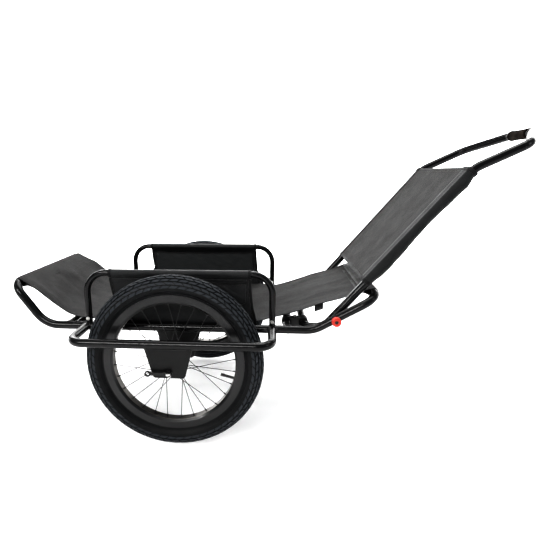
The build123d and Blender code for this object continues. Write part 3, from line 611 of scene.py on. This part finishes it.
def sling_cloth_grid():
    path = sling_path()
    rows = []
    for index, spot in enumerate(path):
        before, after = path[max(index - 1, 0)], path[min(index + 1, len(path) - 1)]
        along = (after - before).normalized()
        up = Vector((-along.y, along.x))
        share = index * SLING_STEP
        total = (len(path) - 1) * SLING_STEP
        free = smoothstep(share, 112, 150) * smoothstep(total - share, 112, 150)
        half = sling_half(spot.x)
        row = []
        for column in range(SLING_COLUMNS + 1):
            y = half * (2 * column / SLING_COLUMNS - 1)
            rise = free * sling_fold(spot.x, y)
            point = Vector((spot.x + up.x * rise, y, spot.y + up.y * rise))
            turn = max(0.0, abs(y) - (RAIL_Y - FRONT_CORNER))
            if spot.x < -440 and turn > 0:
                shift = FRONT_CORNER - math.sqrt(FRONT_CORNER ** 2 - turn ** 2)
                point += FRONT_ARM * (shift * (1 - smoothstep(spot.x, -485, -440)))
            row.append(point)
        rows.append(row)
    return Cloth(rows, SLING_STEP, 2 * SLING_HALF_WIDE / SLING_COLUMNS)


SLING_TAIL_ROWS = 14                  # rows that turn back under the sling behind each bar
REAR_SEAM_GAP = 19.0                  # from the end of the grey cloth to the middle of the rear bar
LAP_ROWS = 2
LAP_LIFT = Vector((-0.5, 0, 1.5))
EDGE_SEAM = 10.5                      # from an edge of the sling to its line of stitches
THREAD_LIFT = 0.9


def build_sling():
    whole = sling_cloth_grid()
    columns = range(len(whole.rows[0]))
    on_top = range(len(whole.rows) - SLING_TAIL_ROWS)
    seam = max(r for r in on_top if whole.rows[r][0].x < REAR_BAR.x - REAR_SEAM_GAP)
    cloth = whole.patch(range(seam + 1), columns)
    sling = cloth.piece("bed_sling_cloth", sling_cloth, "frame", "sling_fabric")
    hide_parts("bed_sling")
    sleeve_rows = range(seam - LAP_ROWS, len(whole.rows))
    end = whole.patch(sleeve_rows, columns, LAP_LIFT, lambda r, c: r <= seam)
    # The rear sleeve's dark cloth is partly its own colour and partly painted shade, standing in for the
    # shade under the handle panel's lower edge.
    rear_sleeve = end.piece("sling_rear_sleeve", sleeve_cloth, "frame", "sling_fabric")
    last = len(cloth.rows[0]) - 1
    first_row, last_row = SLING_TAIL_ROWS + 1, len(cloth.rows) - 2
    thread_lines = []
    for side, column in (("right", 0), ("left", last)):
        line = cloth.column_line(column, first_row, last_row)
        binding(f"sling_binding_{side}", line, 4.5, 1.7, 1.7, binding_cloth, "frame")
        for lift in (THREAD_LIFT, -THREAD_LIFT):
            thread_lines.append((inner_row(line, EDGE_SEAM), lift))
    for row in (last_row - 3, last_row - 1):
        line = cloth.row_line(row, 2, last - 2)
        thread_lines += [(line, THREAD_LIFT), (line, -THREAD_LIFT)]
    stitches("sling_stitching", thread_lines, grey_thread, "frame")
    widths = [2 * sling_half(spot.x) for spot in sling_path()[:seam + 1]]
    return sling


# ---- handle panel ----------------------------------------------------------------------------
PANEL_STEP = 6.0
PANEL_BEND_Z = RAIL_Z + (PANEL_START_X - HANDLE_BEND_X) * math.tan(HANDLE_ANGLE)
PANEL_ORIGIN = Vector((PANEL_START_X, 0, PANEL_BEND_Z))


def panel_path():
    """Across the handle: from one sewn tail, round both side tubes, to the other tail."""
    right = [Vector((-170, 11.9)), Vector((-182, 11.6)), Vector((-194, 5.5))]
    right += arc((-HANDLE_Y, 0), SLEEVE, -62, -268, 14)
    flat = [Vector((-150, SLEEVE)), Vector((0, SLEEVE)), Vector((150, SLEEVE))]
    left = [Vector((-p.x, p.y)) for p in reversed(right)]
    return smooth_line(right + flat + left, PANEL_STEP)


def sleeve_slack(along):
    """How much the loose sleeve hangs below its tube, from 0 to 1, along the panel."""
    humps = 0.55 + 0.45 * math.cos((along - 95) / 48.0)
    return humps * smoothstep(along, 8, 50) * smoothstep(PANEL_LENGTH - along, 8, 45)


def panel_grid():
    path = panel_path()
    count = round(PANEL_LENGTH / PANEL_STEP)
    rows = []
    for index in range(count + 1):
        along = PANEL_LENGTH * index / count
        slack = sleeve_slack(along)
        row = []
        for y, n in ((p.x, p.y) for p in path):
            lower = smoothstep(SLEEVE - n, 2.0, 26.0)
            inside = smoothstep(HANDLE_Y - 22 - abs(y), 0, 70)
            n -= 6.5 * slack * lower
            n += inside * (-2.6 + 0.9 * wobble(along / 85, y / 60, 2.0))
            n += 0.5 * wobble(along / 24, y / 24, 8.0) * (0.4 + lower)
            n += 0.8 * math.sin(along / 13.0 + 2.0 * wobble(along / 60, 1.0)) * lower * slack
            pull = 1.6 * math.sin(math.pi * along / PANEL_LENGTH) * (1 if abs(y) > 205 else 0) * lower
            across = Vector((0, y - math.copysign(pull, y), 0))
            row.append(PANEL_ORIGIN + HANDLE_ALONG * along + HANDLE_UP * n + across)
        rows.append(row)
    return Cloth(rows, PANEL_STEP, PANEL_STEP), path


PANEL_TAIL_COLUMNS = 13               # columns sewn down under the panel at each side
SLEEVE_LIFT = 1.6
SEAM_ROWS = 2                         # rows between a line of stitches and the edge of its cloth


def away_from_tube(line):
    """A row line round one side tube, turned so that its normals point away from the tube."""
    point, normal = line[len(line) // 2][:2]
    outward = point - (PANEL_ORIGIN + Vector((0, math.copysign(HANDLE_Y, point.y), 0)))
    outward -= HANDLE_ALONG * outward.dot(HANDLE_ALONG)
    return line if normal.dot(outward) > 0 else turned_over(line)


def panel_sleeve(whole, columns, lifted, side):
    """A black sleeve round one side tube, lapped over the edge of the grey panel."""
    cloth = whole.patch(range(len(whole.rows)), columns, HANDLE_UP * SLEEVE_LIFT, lifted)
    sleeve = cloth.piece(f"panel_sleeve_{side}", sleeve_cloth, "handle", "sling_fabric")
    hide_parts("handle_panel")
    for name, row, above in (("low", 0, 1.8), ("top", len(cloth.rows) - 1, 3.0)):
        line = away_from_tube(cloth.row_line(row))
        tape = f"sleeve_binding_{name}_{side}"
        binding(tape, line, 11.0, above, 0.8, binding_cloth, "handle")
    edge = 1 if lifted(0, columns[0]) else len(columns) - 2
    seam = facing(cloth.column_line(edge, SEAM_ROWS, len(cloth.rows) - 1 - SEAM_ROWS), HANDLE_UP)
    seams = [(seam, THREAD_LIFT)]
    stitches(f"sleeve_stitching_{side}", seams, grey_thread, "handle")


def build_handle_panel():
    whole, path = panel_grid()
    inner = range(PANEL_TAIL_COLUMNS, len(path) - PANEL_TAIL_COLUMNS)
    on_top = [c for c in inner if path[c].y > SLEEVE - 3.5 and abs(path[c].x) < HANDLE_Y - 15]
    first, last = on_top[0], on_top[-1]
    columns = range(first, last + 1)
    cloth = whole.patch(range(len(whole.rows)), columns)
    panel = cloth.piece("handle_panel_cloth", sling_cloth, "handle", "sling_fabric")
    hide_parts("handle_panel")
    for name, row in (("low", 0), ("top", len(cloth.rows) - 1)):
        line = facing(cloth.row_line(row), HANDLE_UP)
        binding(f"panel_binding_{name}", line, 8.0, 1.6, 0.9, binding_cloth, "handle")
    seams = []
    for row in (SEAM_ROWS, len(cloth.rows) - 1 - SEAM_ROWS):
        line = facing(cloth.row_line(row, SEAM_ROWS, len(columns) - 1 - SEAM_ROWS), HANDLE_UP)
        seams += [(line, THREAD_LIFT), (line, -THREAD_LIFT)]
    stitches("panel_stitching", seams, grey_thread, "handle")
    panel_sleeve(whole, range(0, first + 2), lambda r, c: c >= first - 1, "right")
    panel_sleeve(whole, range(last - 1, len(path)), lambda r, c: c <= last + 1, "left")


# ---- side panels -----------------------------------------------------------------------------
SIDE_STEP = 5.0
SIDE_TOP_X = (-207.0, 222.0)
SIDE_LOW_X = (-188.0, 231.0)
SIDE_LOW_Z = 354.8
SIDE_LOW_Y = 230.0
SEAM_Z = HOOP_TOP_Z - 16.5


def side_path():
    """Section of a side panel: tail, round the hoop, down, and in over the edge of the bed."""
    centre = (RAIL_Y, HOOP_TOP_Z)
    tail = [
        Vector((RAIL_Y - 1.0, SEAM_Z - 8)),
        Vector((RAIL_Y - 1.4, SEAM_Z)),
        Vector((RAIL_Y - 6.5, SEAM_Z + 6.5)),
    ]
    loop = arc(centre, HOOP_SLEEVE, 196, -14, 14)
    drop = [
        Vector((RAIL_Y + 6.0, SEAM_Z + 6)),
        Vector((RAIL_Y + 0.9, SEAM_Z)),
        Vector((RAIL_Y + 0.2, SEAM_Z - 10)),
    ]
    low = [Vector((SIDE_LOW_Y + 1, 382)), Vector((SIDE_LOW_Y - 0.2, SIDE_LOW_Z + 4))]
    low += [Vector((SIDE_LOW_Y - 2.6, SIDE_LOW_Z + 0.4)), Vector((SIDE_LOW_Y - 16, SIDE_LOW_Z + 3.6))]
    return smooth_line(tail + loop + drop + low, SIDE_STEP)


def side_crease(x, z):
    """Slack in the cloth: drag lines that run down and across from the hoop's corners."""
    free = smoothstep(SEAM_Z - z, 4, 30) * smoothstep(z - SIDE_LOW_Z, 6, 34)
    drag = math.sin((x * 0.55 + z * 0.9) / 15.0 + 2.2 * wobble(x / 70, z / 50, 4.0))
    across = math.sin((x * 0.35 - z * 1.1) / 19.0 + 1.7 * wobble(x / 90, z / 60, 9.0))
    patch = smoothstep(wobble(x / 80, z / 60, 6.0), -0.2, 0.5)
    return free * (1.5 * drag * patch + 0.9 * across * (1 - patch) + 0.8 * wobble(x / 26, z / 22))


def side_grid(sign):
    path = side_path()
    count = round((SIDE_TOP_X[1] - SIDE_TOP_X[0]) / SIDE_STEP)
    rows = []
    for spot in path:
        drop = smoothstep(HOOP_TOP_Z - spot.y, 10, HOOP_TOP_Z - SIDE_LOW_Z)
        flare = 7.0 * smoothstep(420 - spot.y, 0, 55)
        first = mixed(SIDE_TOP_X[0], SIDE_LOW_X[0], drop) - flare
        last = mixed(SIDE_TOP_X[1], SIDE_LOW_X[1], drop) + flare
        row = []
        for column in range(count + 1):
            x = mixed(first, last, column / count)
            edge = min(x - first, last - x)
            out = side_crease(x, spot.y) * (0.35 + 0.65 * smoothstep(edge, 0, 40))
            out += 1.6 * smoothstep(SEAM_Z - spot.y, 0, 60) * math.sin(math.pi * column / count)
            row.append(Vector((x, sign * (spot.x + out), spot.y)))
        rows.append(row)
    return Cloth(rows, SIDE_STEP, SIDE_STEP), path


def build_side_panel(side, sign):
    cloth, path = side_grid(sign)
    panel = cloth.piece(f"side_panel_cloth_{side}", panel_cloth, "frame", "panel_fabric")
    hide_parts(f"side_panel_{side}")
    outward = Vector((0, sign, 0))
    start = min(range(12, len(path)), key=lambda r: abs(path[r].y - SEAM_Z))
    last_column = len(cloth.rows[0]) - 1
    extras, seams = [], []
    for name, column in (("front", 0), ("rear", last_column)):
        line = facing(cloth.column_line(column, start, len(path) - 2), outward)
        extras.append(
            binding(
                f"side_binding_{name}_{side}", line, 9.0, 1.4, 1.4, binding_cloth, "frame"
            )
        )
        seams.append((inner_row(line, 7.0), 1.5))
        cuff = facing(cloth.column_line(column, 3, start - 1), Vector((0, 0, 1)))
        extras.append(
            binding(f"side_cuff_{name}_{side}", cuff, 8.0, 1.5, 0.7, binding_cloth, "frame")
        )
    for row in (start, start + 1, len(path) - 3, len(path) - 2):
        line = facing(cloth.row_line(row, 2, last_column - 2), outward)
        seams += [(line, 0.9), (line, -0.9)]
    extras.append(stitches(f"side_stitching_{side}", seams, black_thread, "frame"))


def side_surface(z):
    """How far out a side panel's cloth lies at a height."""
    return mixed(SIDE_LOW_Y, RAIL_Y, (z - SIDE_LOW_Z) / (HOOP_TOP_Z - SIDE_LOW_Z))


def pocket_grid(sign, x_range, z_range, offset, belly, corner, mouth, seed, creased):
    """A patch on a side panel: sewn at its sides and foot, full in the middle, slack at its mouth."""
    columns = round((x_range[1] - x_range[0]) / 4.0)
    rows_count = round((z_range[1] - z_range[0]) / 4.0)
    middle = (x_range[0] + x_range[1]) / 2
    half = (x_range[1] - x_range[0]) / 2
    rows = []
    for r in range(rows_count + 1):
        v = r / rows_count
        row = []
        for c in range(columns + 1):
            x = mixed(x_range[0], x_range[1], c / columns)
            beyond = max(0.0, abs(x - middle) - (half - corner))
            lift = corner - math.sqrt(max(0.0, corner ** 2 - beyond ** 2))
            low = z_range[0] + lift
            across = abs(math.sin(math.pi * c / columns)) ** 0.5
            dip = mouth * (0.5 + 0.5 * wobble(x / 38, seed)) * across
            high = z_range[1] - dip
            z = mixed(high, low, v)
            full = across * abs(math.sin(math.pi * min(1.0, 0.28 + 0.72 * v))) ** 0.6
            crease = creased * math.sin((x + 1.5 * z) / 9.5 + 2.6 * wobble(x / 30, z / 25, seed))
            out = abs(offset) + belly * full + crease * full * 0.8 + 0.5 * wobble(x / 11, z / 9, seed)
            y = side_surface(z) + math.copysign(out, offset)
            row.append(Vector((x, sign * y, z)))
        rows.append(row)
    return Cloth(rows, 4.0, 4.0)


def add_pocket(name, sign, cloth, mouth_width, replaced=None):
    pocket = cloth.piece(name, panel_cloth if replaced else pocket_cloth, "frame", "panel_fabric", 1.2)
    if replaced:
        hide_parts(replaced)
    last_row, last_column = len(cloth.rows) - 1, len(cloth.rows[0]) - 1
    look_out = Vector((0, sign if cloth.rows[0][0].y * sign > RAIL_Y - 1 else -sign, 0))
    mouth = facing(cloth.row_line(0), look_out)
    edge = binding(f"{name}_mouth", mouth, mouth_width, 1.3, 1.3, binding_cloth, "frame")
    seams = []
    for line in (
        cloth.column_line(1, 2, last_row - 1), cloth.column_line(last_column - 1, 2, last_row - 1),
        cloth.row_line(last_row - 1, 1, last_column - 1), inner_row(cloth.row_line(0), mouth_width - 2),
    ):
        seams.append((facing(line, look_out), 1.4))
    sewing = stitches(f"{name}_stitching", seams, black_thread, "frame")


def build_pockets(side, sign):
    outer = pocket_grid(sign, (70, 210), (420, SEAM_Z - 7), 2.0, 7.0, 16.0, 5.0, 3.0, 1.5)
    add_pocket(f"side_pouch_cloth_{side}", sign, outer, 8.0, f"side_pouch_{side}")
    inner = pocket_grid(sign, (-186, 209), (376, SEAM_Z - 4), -1.9, 1.9, 12.0, 9.0, 7.0, 0.3)
    add_pocket(f"inner_pocket_cloth_{side}", sign, inner, 5.0)


# ---- strap loop under the sling --------------------------------------------------------------
def build_strap():
    """A folded webbing loop sewn under the rear slope of the sling."""
    x_middle, half_width = 441.0, 13.0
    profile = [(-66, 414.6), (-82, 414.0), (-96, 408), (-107, 392), (-109, 374), (-101, 364), (-92, 368)]
    profile += [(-90, 384), (-86, 402), (-76, 411.6), (-64, 412.4)]
    path = smooth_line([Vector(p) for p in profile], 3.0)
    columns, tilt = 8, 0.34
    across = [2 * c / columns - 1 for c in range(columns + 1)]
    rows = [
        [Vector((x_middle + half_width * t, p.x, p.y + tilt * t * half_width)) for t in across]
        for p in path
    ]
    cloth = Cloth(rows, 3.0, 3.2)
    strap = cloth.piece("strap_loop", webbing_cloth, "frame", "sling_fabric", 1.6)


# ---- tyres -----------------------------------------------------------------------------------
TREAD_ROWS = 10
TREAD_EDGE = 99.0                     # degrees from the crown to the edge of the tread
TREAD_PITCHES = 60
TREAD_DEPTH = 3.1
GROOVE = 4.6                          # degrees across the section
BAR_SHARES = (0.09, 0.41, 0.59, 0.91)  # where cross grooves start and end, as shares of one pitch
WALL_SHARE = 0.035
EVEN_BAR = (0.06, 0.94)               # the part of a pitch that an even row raises
ODD_GAP = (0.42, 0.58)                # the part of a pitch that an odd row leaves low


def tread_section():
    """(degrees from the crown, block row or None) across the tread."""
    width = 2 * TREAD_EDGE / TREAD_ROWS
    samples = []
    for row in range(TREAD_ROWS):
        low = -TREAD_EDGE + row * width + (GROOVE / 2 if row else 0)
        high = low + width - (GROOVE / 2 if row in (0, TREAD_ROWS - 1) else GROOVE)
        samples.append((low, None))
        for share in (0.09, 0.91):
            samples.append((mixed(low, high, share), row))
        samples.append((high, None))
    return samples


def tread_height(angle):
    """The blocks are tall on the crown and low where they run down the sidewall."""
    return TREAD_DEPTH * (1 - 0.5 * smoothstep(abs(angle), 45, TREAD_EDGE))


def carcass(angle):
    """Radius of the casing's section, without the tread; one fine ridge rings each sidewall."""
    ridge = 0.5 if 118.0 < abs(angle) < 121.0 else 0.0
    return TYRE_SECTION - tread_height(angle) + ridge - 0.3 * smoothstep(abs(angle), 112, 130)


def tyre_section():
    """All points round the section: (radius, sideways, block row, degrees)."""
    centre = WHEEL_RADIUS - TYRE_SECTION
    wall_angles = (101, 105, 110, 114, 117.5, 118.5, 120.5, 121.5, 126, 132, 138, 145)
    outer = [(-angle, None) for angle in reversed(wall_angles)] + tread_section()
    outer += [(angle, None) for angle in wall_angles]
    points = []
    for angle, row in outer:
        reach = carcass(angle)
        turn = math.radians(angle)
        points.append((centre + reach * math.cos(turn), reach * math.sin(turn), row, angle))
    bead = [(209.6, 14.8), (204.0, 14.6), (200.8, 13.4), (200.8, 10.4), (209.0, 10.8), (217.5, 15.9)]
    bead += [(236.0, 24.4), (253.0, 17.2), (260.2, 6.0)]
    points += [(radius, side, None, 180) for radius, side in bead]
    points += [(radius, -side, None, 180) for radius, side in reversed(bead)]
    return points


def tread_columns():
    """Positions round the wheel in pitches, each with which of the two row kinds is raised there."""
    columns = []
    for pitch in range(TREAD_PITCHES):
        for index, share in enumerate(BAR_SHARES):
            outward = WALL_SHARE if index % 2 else -WALL_SHARE
            for extra in (min(outward, 0.0), max(outward, 0.0)):
                at = share + extra
                columns.append((pitch + at, EVEN_BAR[0] < at < EVEN_BAR[1], not ODD_GAP[0] < at < ODD_GAP[1]))
    return columns


def build_tyre(side, sign):
    section = tyre_section()
    columns = tread_columns()
    width = 2 * TREAD_EDGE / TREAD_ROWS
    points = []
    for at, even_raised, odd_raised in columns:
        for radius, sideways, row, angle in section:
            turn = at
            if row is not None or abs(angle) <= TREAD_EDGE:
                band = min(TREAD_ROWS - 1, int((angle + TREAD_EDGE) / width))
                slant = (angle + TREAD_EDGE - (band + 0.5) * width) / width
                turn += 0.42 * slant * (1 if band % 2 else -1)
            if row is not None and (odd_raised if row % 2 else even_raised):
                lean = math.radians(angle)
                radius += tread_height(angle) * math.cos(lean)
                sideways += tread_height(angle) * math.sin(lean)
            theta = 2 * math.pi * turn / TREAD_PITCHES
            points.append((radius * math.cos(theta), sign * WHEEL_CENTRE.y + sideways,
                           WHEEL_CENTRE.z + radius * math.sin(theta)))
    faces = grid_faces(len(columns), len(section), wrap_rows=True, wrap_columns=True)
    tyre = make_piece(
        f"tyre_tread_{side}", points, faces, materials["tyre"], f"wheel_{side}", sharp=32
    )
    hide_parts(f"tyre_{side}")


# ---- weld beads ------------------------------------------------------------------------------
def bead(points, radius, closed):
    """A rippled weld bead along a line: (points, faces) of one lumpy rope."""
    path = even_steps(points + (points[:1] if closed else []), 1.3)
    if closed:
        path = path[:-1]
    sides = 8
    vertices = []
    for k, spot in enumerate(path):
        before = path[k - 1] if closed or k else spot
        after = path[(k + 1) % len(path)] if closed or k + 1 < len(path) else spot
        along = (after - before).normalized()
        side = along.orthogonal() if abs(along.y) > 0.99 else along.cross(Vector((0, 1, 0)))
        side = side.normalized()
        up = along.cross(side)
        ripple = 0.13 * math.sin(2 * math.pi * k / 3.0)
        size = radius * (1 + ripple + 0.10 * wobble(spot.x / 7, spot.y / 7, spot.z / 7))
        if not closed and k in (0, len(path) - 1):
            size *= 0.4
        for s in range(sides):
            angle = 2 * math.pi * s / sides
            vertices.append(spot + (side * math.cos(angle) + up * math.sin(angle)) * size)
    faces = grid_faces(len(path), sides, wrap_rows=closed, wrap_columns=True)
    if not closed:
        faces.append(tuple(range(sides)))
        faces.append(tuple(range(len(vertices) - sides, len(vertices))))
    return vertices, faces


def saddle(x, tube_y, side):
    """Where a tube along Y meets a tube along X of the same size."""
    points = []
    for step in range(56):
        angle = 2 * math.pi * step / 56
        reach = TUBE_RADIUS * abs(math.cos(angle))
        along = TUBE_RADIUS + 0.5
        y = tube_y + side * math.hypot(reach, 1.2)
        points.append(Vector((x + along * math.cos(angle), y, RAIL_Z + along * math.sin(angle))))
    return points


def build_welds():
    beads = []
    for sign in (1, -1):
        for x in (*FRONT_CROSS_X, REAR_CROSS_X):
            beads.append(bead(saddle(x, sign * RAIL_Y, -sign), 1.7, True))
        for x in (-GUARD_X, GUARD_X):
            beads.append(bead(saddle(x, sign * RAIL_Y, sign), 1.7, True))
        for tube_y in (RAIL_Y, GUARD_Y):
            for face in (1, -1):
                y = sign * tube_y + face * 3.0
                z = RAIL_Z - TUBE_RADIUS - 0.1
                beads.append(bead([Vector((-68.0, y, z)), Vector((68.0, y, z))], 1.8, False))
    points, faces = [], []
    for bead_points, bead_faces in beads:
        first = len(points)
        points += bead_points
        faces += [tuple(index + first for index in face) for face in bead_faces]
    make_piece("weld_beads", points, faces, weld_metal, "frame")


# ---- dark plugs in the middle of the red lock knobs --------------------------------------------
def build_knob_plugs():
    for side, sign in both_sides():
        low, high = box_mm(f"lock_knob_{side}")
        centre = (low + high) / 2
        face = high.y if sign > 0 else low.y
        rings = ((0.0, -0.6), (3.4, -0.7), (4.8, -1.3), (5.3, -2.6))
        points = []
        for radius, back in rings:
            for step in range(24):
                angle = 2 * math.pi * step / 24
                place = Vector((radius * math.cos(angle), sign * back, radius * math.sin(angle)))
                points.append(Vector((centre.x, face, centre.z)) + place)
        faces = grid_faces(len(rings), 24, wrap_columns=True)
        faces.append(tuple(range(3 * 24, 4 * 24)))
        body = f"lock_pin_{side}"
        make_piece(f"knob_plug_{side}", points, faces, materials["tube_rubber"], body, sharp=40)


# ---- studio ----------------------------------------------------------------------------------
def build_floor():
    """A pale floor that sweeps up into a pale wall behind the cart, in one smooth sheet."""
    depth = [(-24000, 0), (3600, 0), (4700, 160), (5500, 760), (5900, 1800), (6000, 5200)]
    line = smooth_line([Vector(p) for p in depth], 180.0)
    half = 24000.0
    points = [Vector((x, p.x, p.y)) for p in line for x in (-half, half)]
    mesh = bpy.data.meshes.new("studio_floor")
    mesh.from_pydata([p * MM for p in points], [], grid_faces(len(line), 2))
    mesh.shade_smooth()
    look = Look("studio_paper", roughness=0.9)
    paper = look.colour(look.span(look.noise(0.6, 2.0), 0.3, 0.7), grey(0.80), grey(0.83))
    look.set("Base Color", paper)
    # The paper glows a little, and more towards the wall, so that no horizon shows.
    look.set("Emission Color", paper)
    depth_here = look.add("ShaderNodeSeparateXYZ", {0: look.place}).outputs[1]
    look.set("Emission Strength", look.span(depth_here, 1.2, 3.2, 0.30, 1.3))
    mesh.materials.append(look.material)
    floor = bpy.data.objects.new("studio_floor", mesh)
    bpy.context.scene.collection.objects.link(floor)


def add_light(name, place, target, size, power, colour=(1, 1, 1)):
    light = bpy.data.lights.new(name, "AREA")
    light.shape = "RECTANGLE"
    light.size, light.size_y = size
    light.energy = power
    light.color = colour
    lamp = bpy.data.objects.new(name, light)
    bpy.context.scene.collection.objects.link(lamp)
    lamp.location = place
    lamp.rotation_euler = (Vector(target) - Vector(place)).to_track_quat("-Z", "Y").to_euler()


def build_light():
    world = bpy.data.worlds.new("studio_world")
    bpy.context.scene.world = world
    world.use_nodes = True
    background = world.node_tree.nodes["Background"]
    background.inputs["Color"].default_value = (0.96, 0.98, 1.0, 1.0)
    background.inputs["Strength"].default_value = 0.26
    add_light("key_light", (-1.2, -3.1, 2.2), (0.1, 0.0, 0.4), (3.0, 0.20), 95, (1.0, 0.99, 0.98))
    add_light("top_light", (0.3, 0.5, 4.2), (0.3, 0.0, 0.3), (3.4, 2.4), 105)
    add_light("side_light", (3.6, -1.4, 1.9), (0.5, 0.0, 0.5), (0.5, 1.6), 9, (0.97, 0.98, 1.0))
    add_light("back_light", (-2.6, 3.2, 2.4), (0.0, 0.0, 0.4), (1.8, 0.5), 30)
    add_light("wall_light", (0.0, 2.4, 4.9), (0.0, 6.0, 1.6), (9.0, 0.8), 520)


def build_camera():
    """The camera stands in front of the cart's right side, a little above it."""
    yaw, pitch, roll = -0.07209, 0.2222, -0.00454
    forward = Vector((math.sin(yaw) * math.cos(pitch), math.cos(yaw) * math.cos(pitch), -math.sin(pitch)))
    level = Vector((math.cos(yaw), -math.sin(yaw), 0))
    upright = level.cross(forward)
    right = level * math.cos(roll) + upright * math.sin(roll)
    up = upright * math.cos(roll) - level * math.sin(roll)
    data = bpy.data.cameras.new("camera")
    data.sensor_width = 36.0
    data.lens = 28.72
    data.shift_x = 0.0542
    data.clip_start = 0.05
    camera = bpy.data.objects.new("camera", data)
    bpy.context.scene.collection.objects.link(camera)
    place = Matrix((right, up, -forward)).transposed().to_4x4()
    place.translation = Vector((0.28047, -1.47489, 0.81053))
    camera.matrix_world = place
    bpy.context.scene.camera = camera


bpy.context.scene.view_settings.view_transform = "Standard"
bpy.context.scene.view_settings.look = "High Contrast"
build_camera()
give_cad_materials()
build_sling()
build_handle_panel()
for side_name, side_sign in both_sides():
    build_side_panel(side_name, side_sign)
    build_pockets(side_name, side_sign)
    build_tyre(side_name, side_sign)
build_strap()
build_knob_plugs()
build_welds()
build_floor()
build_light()
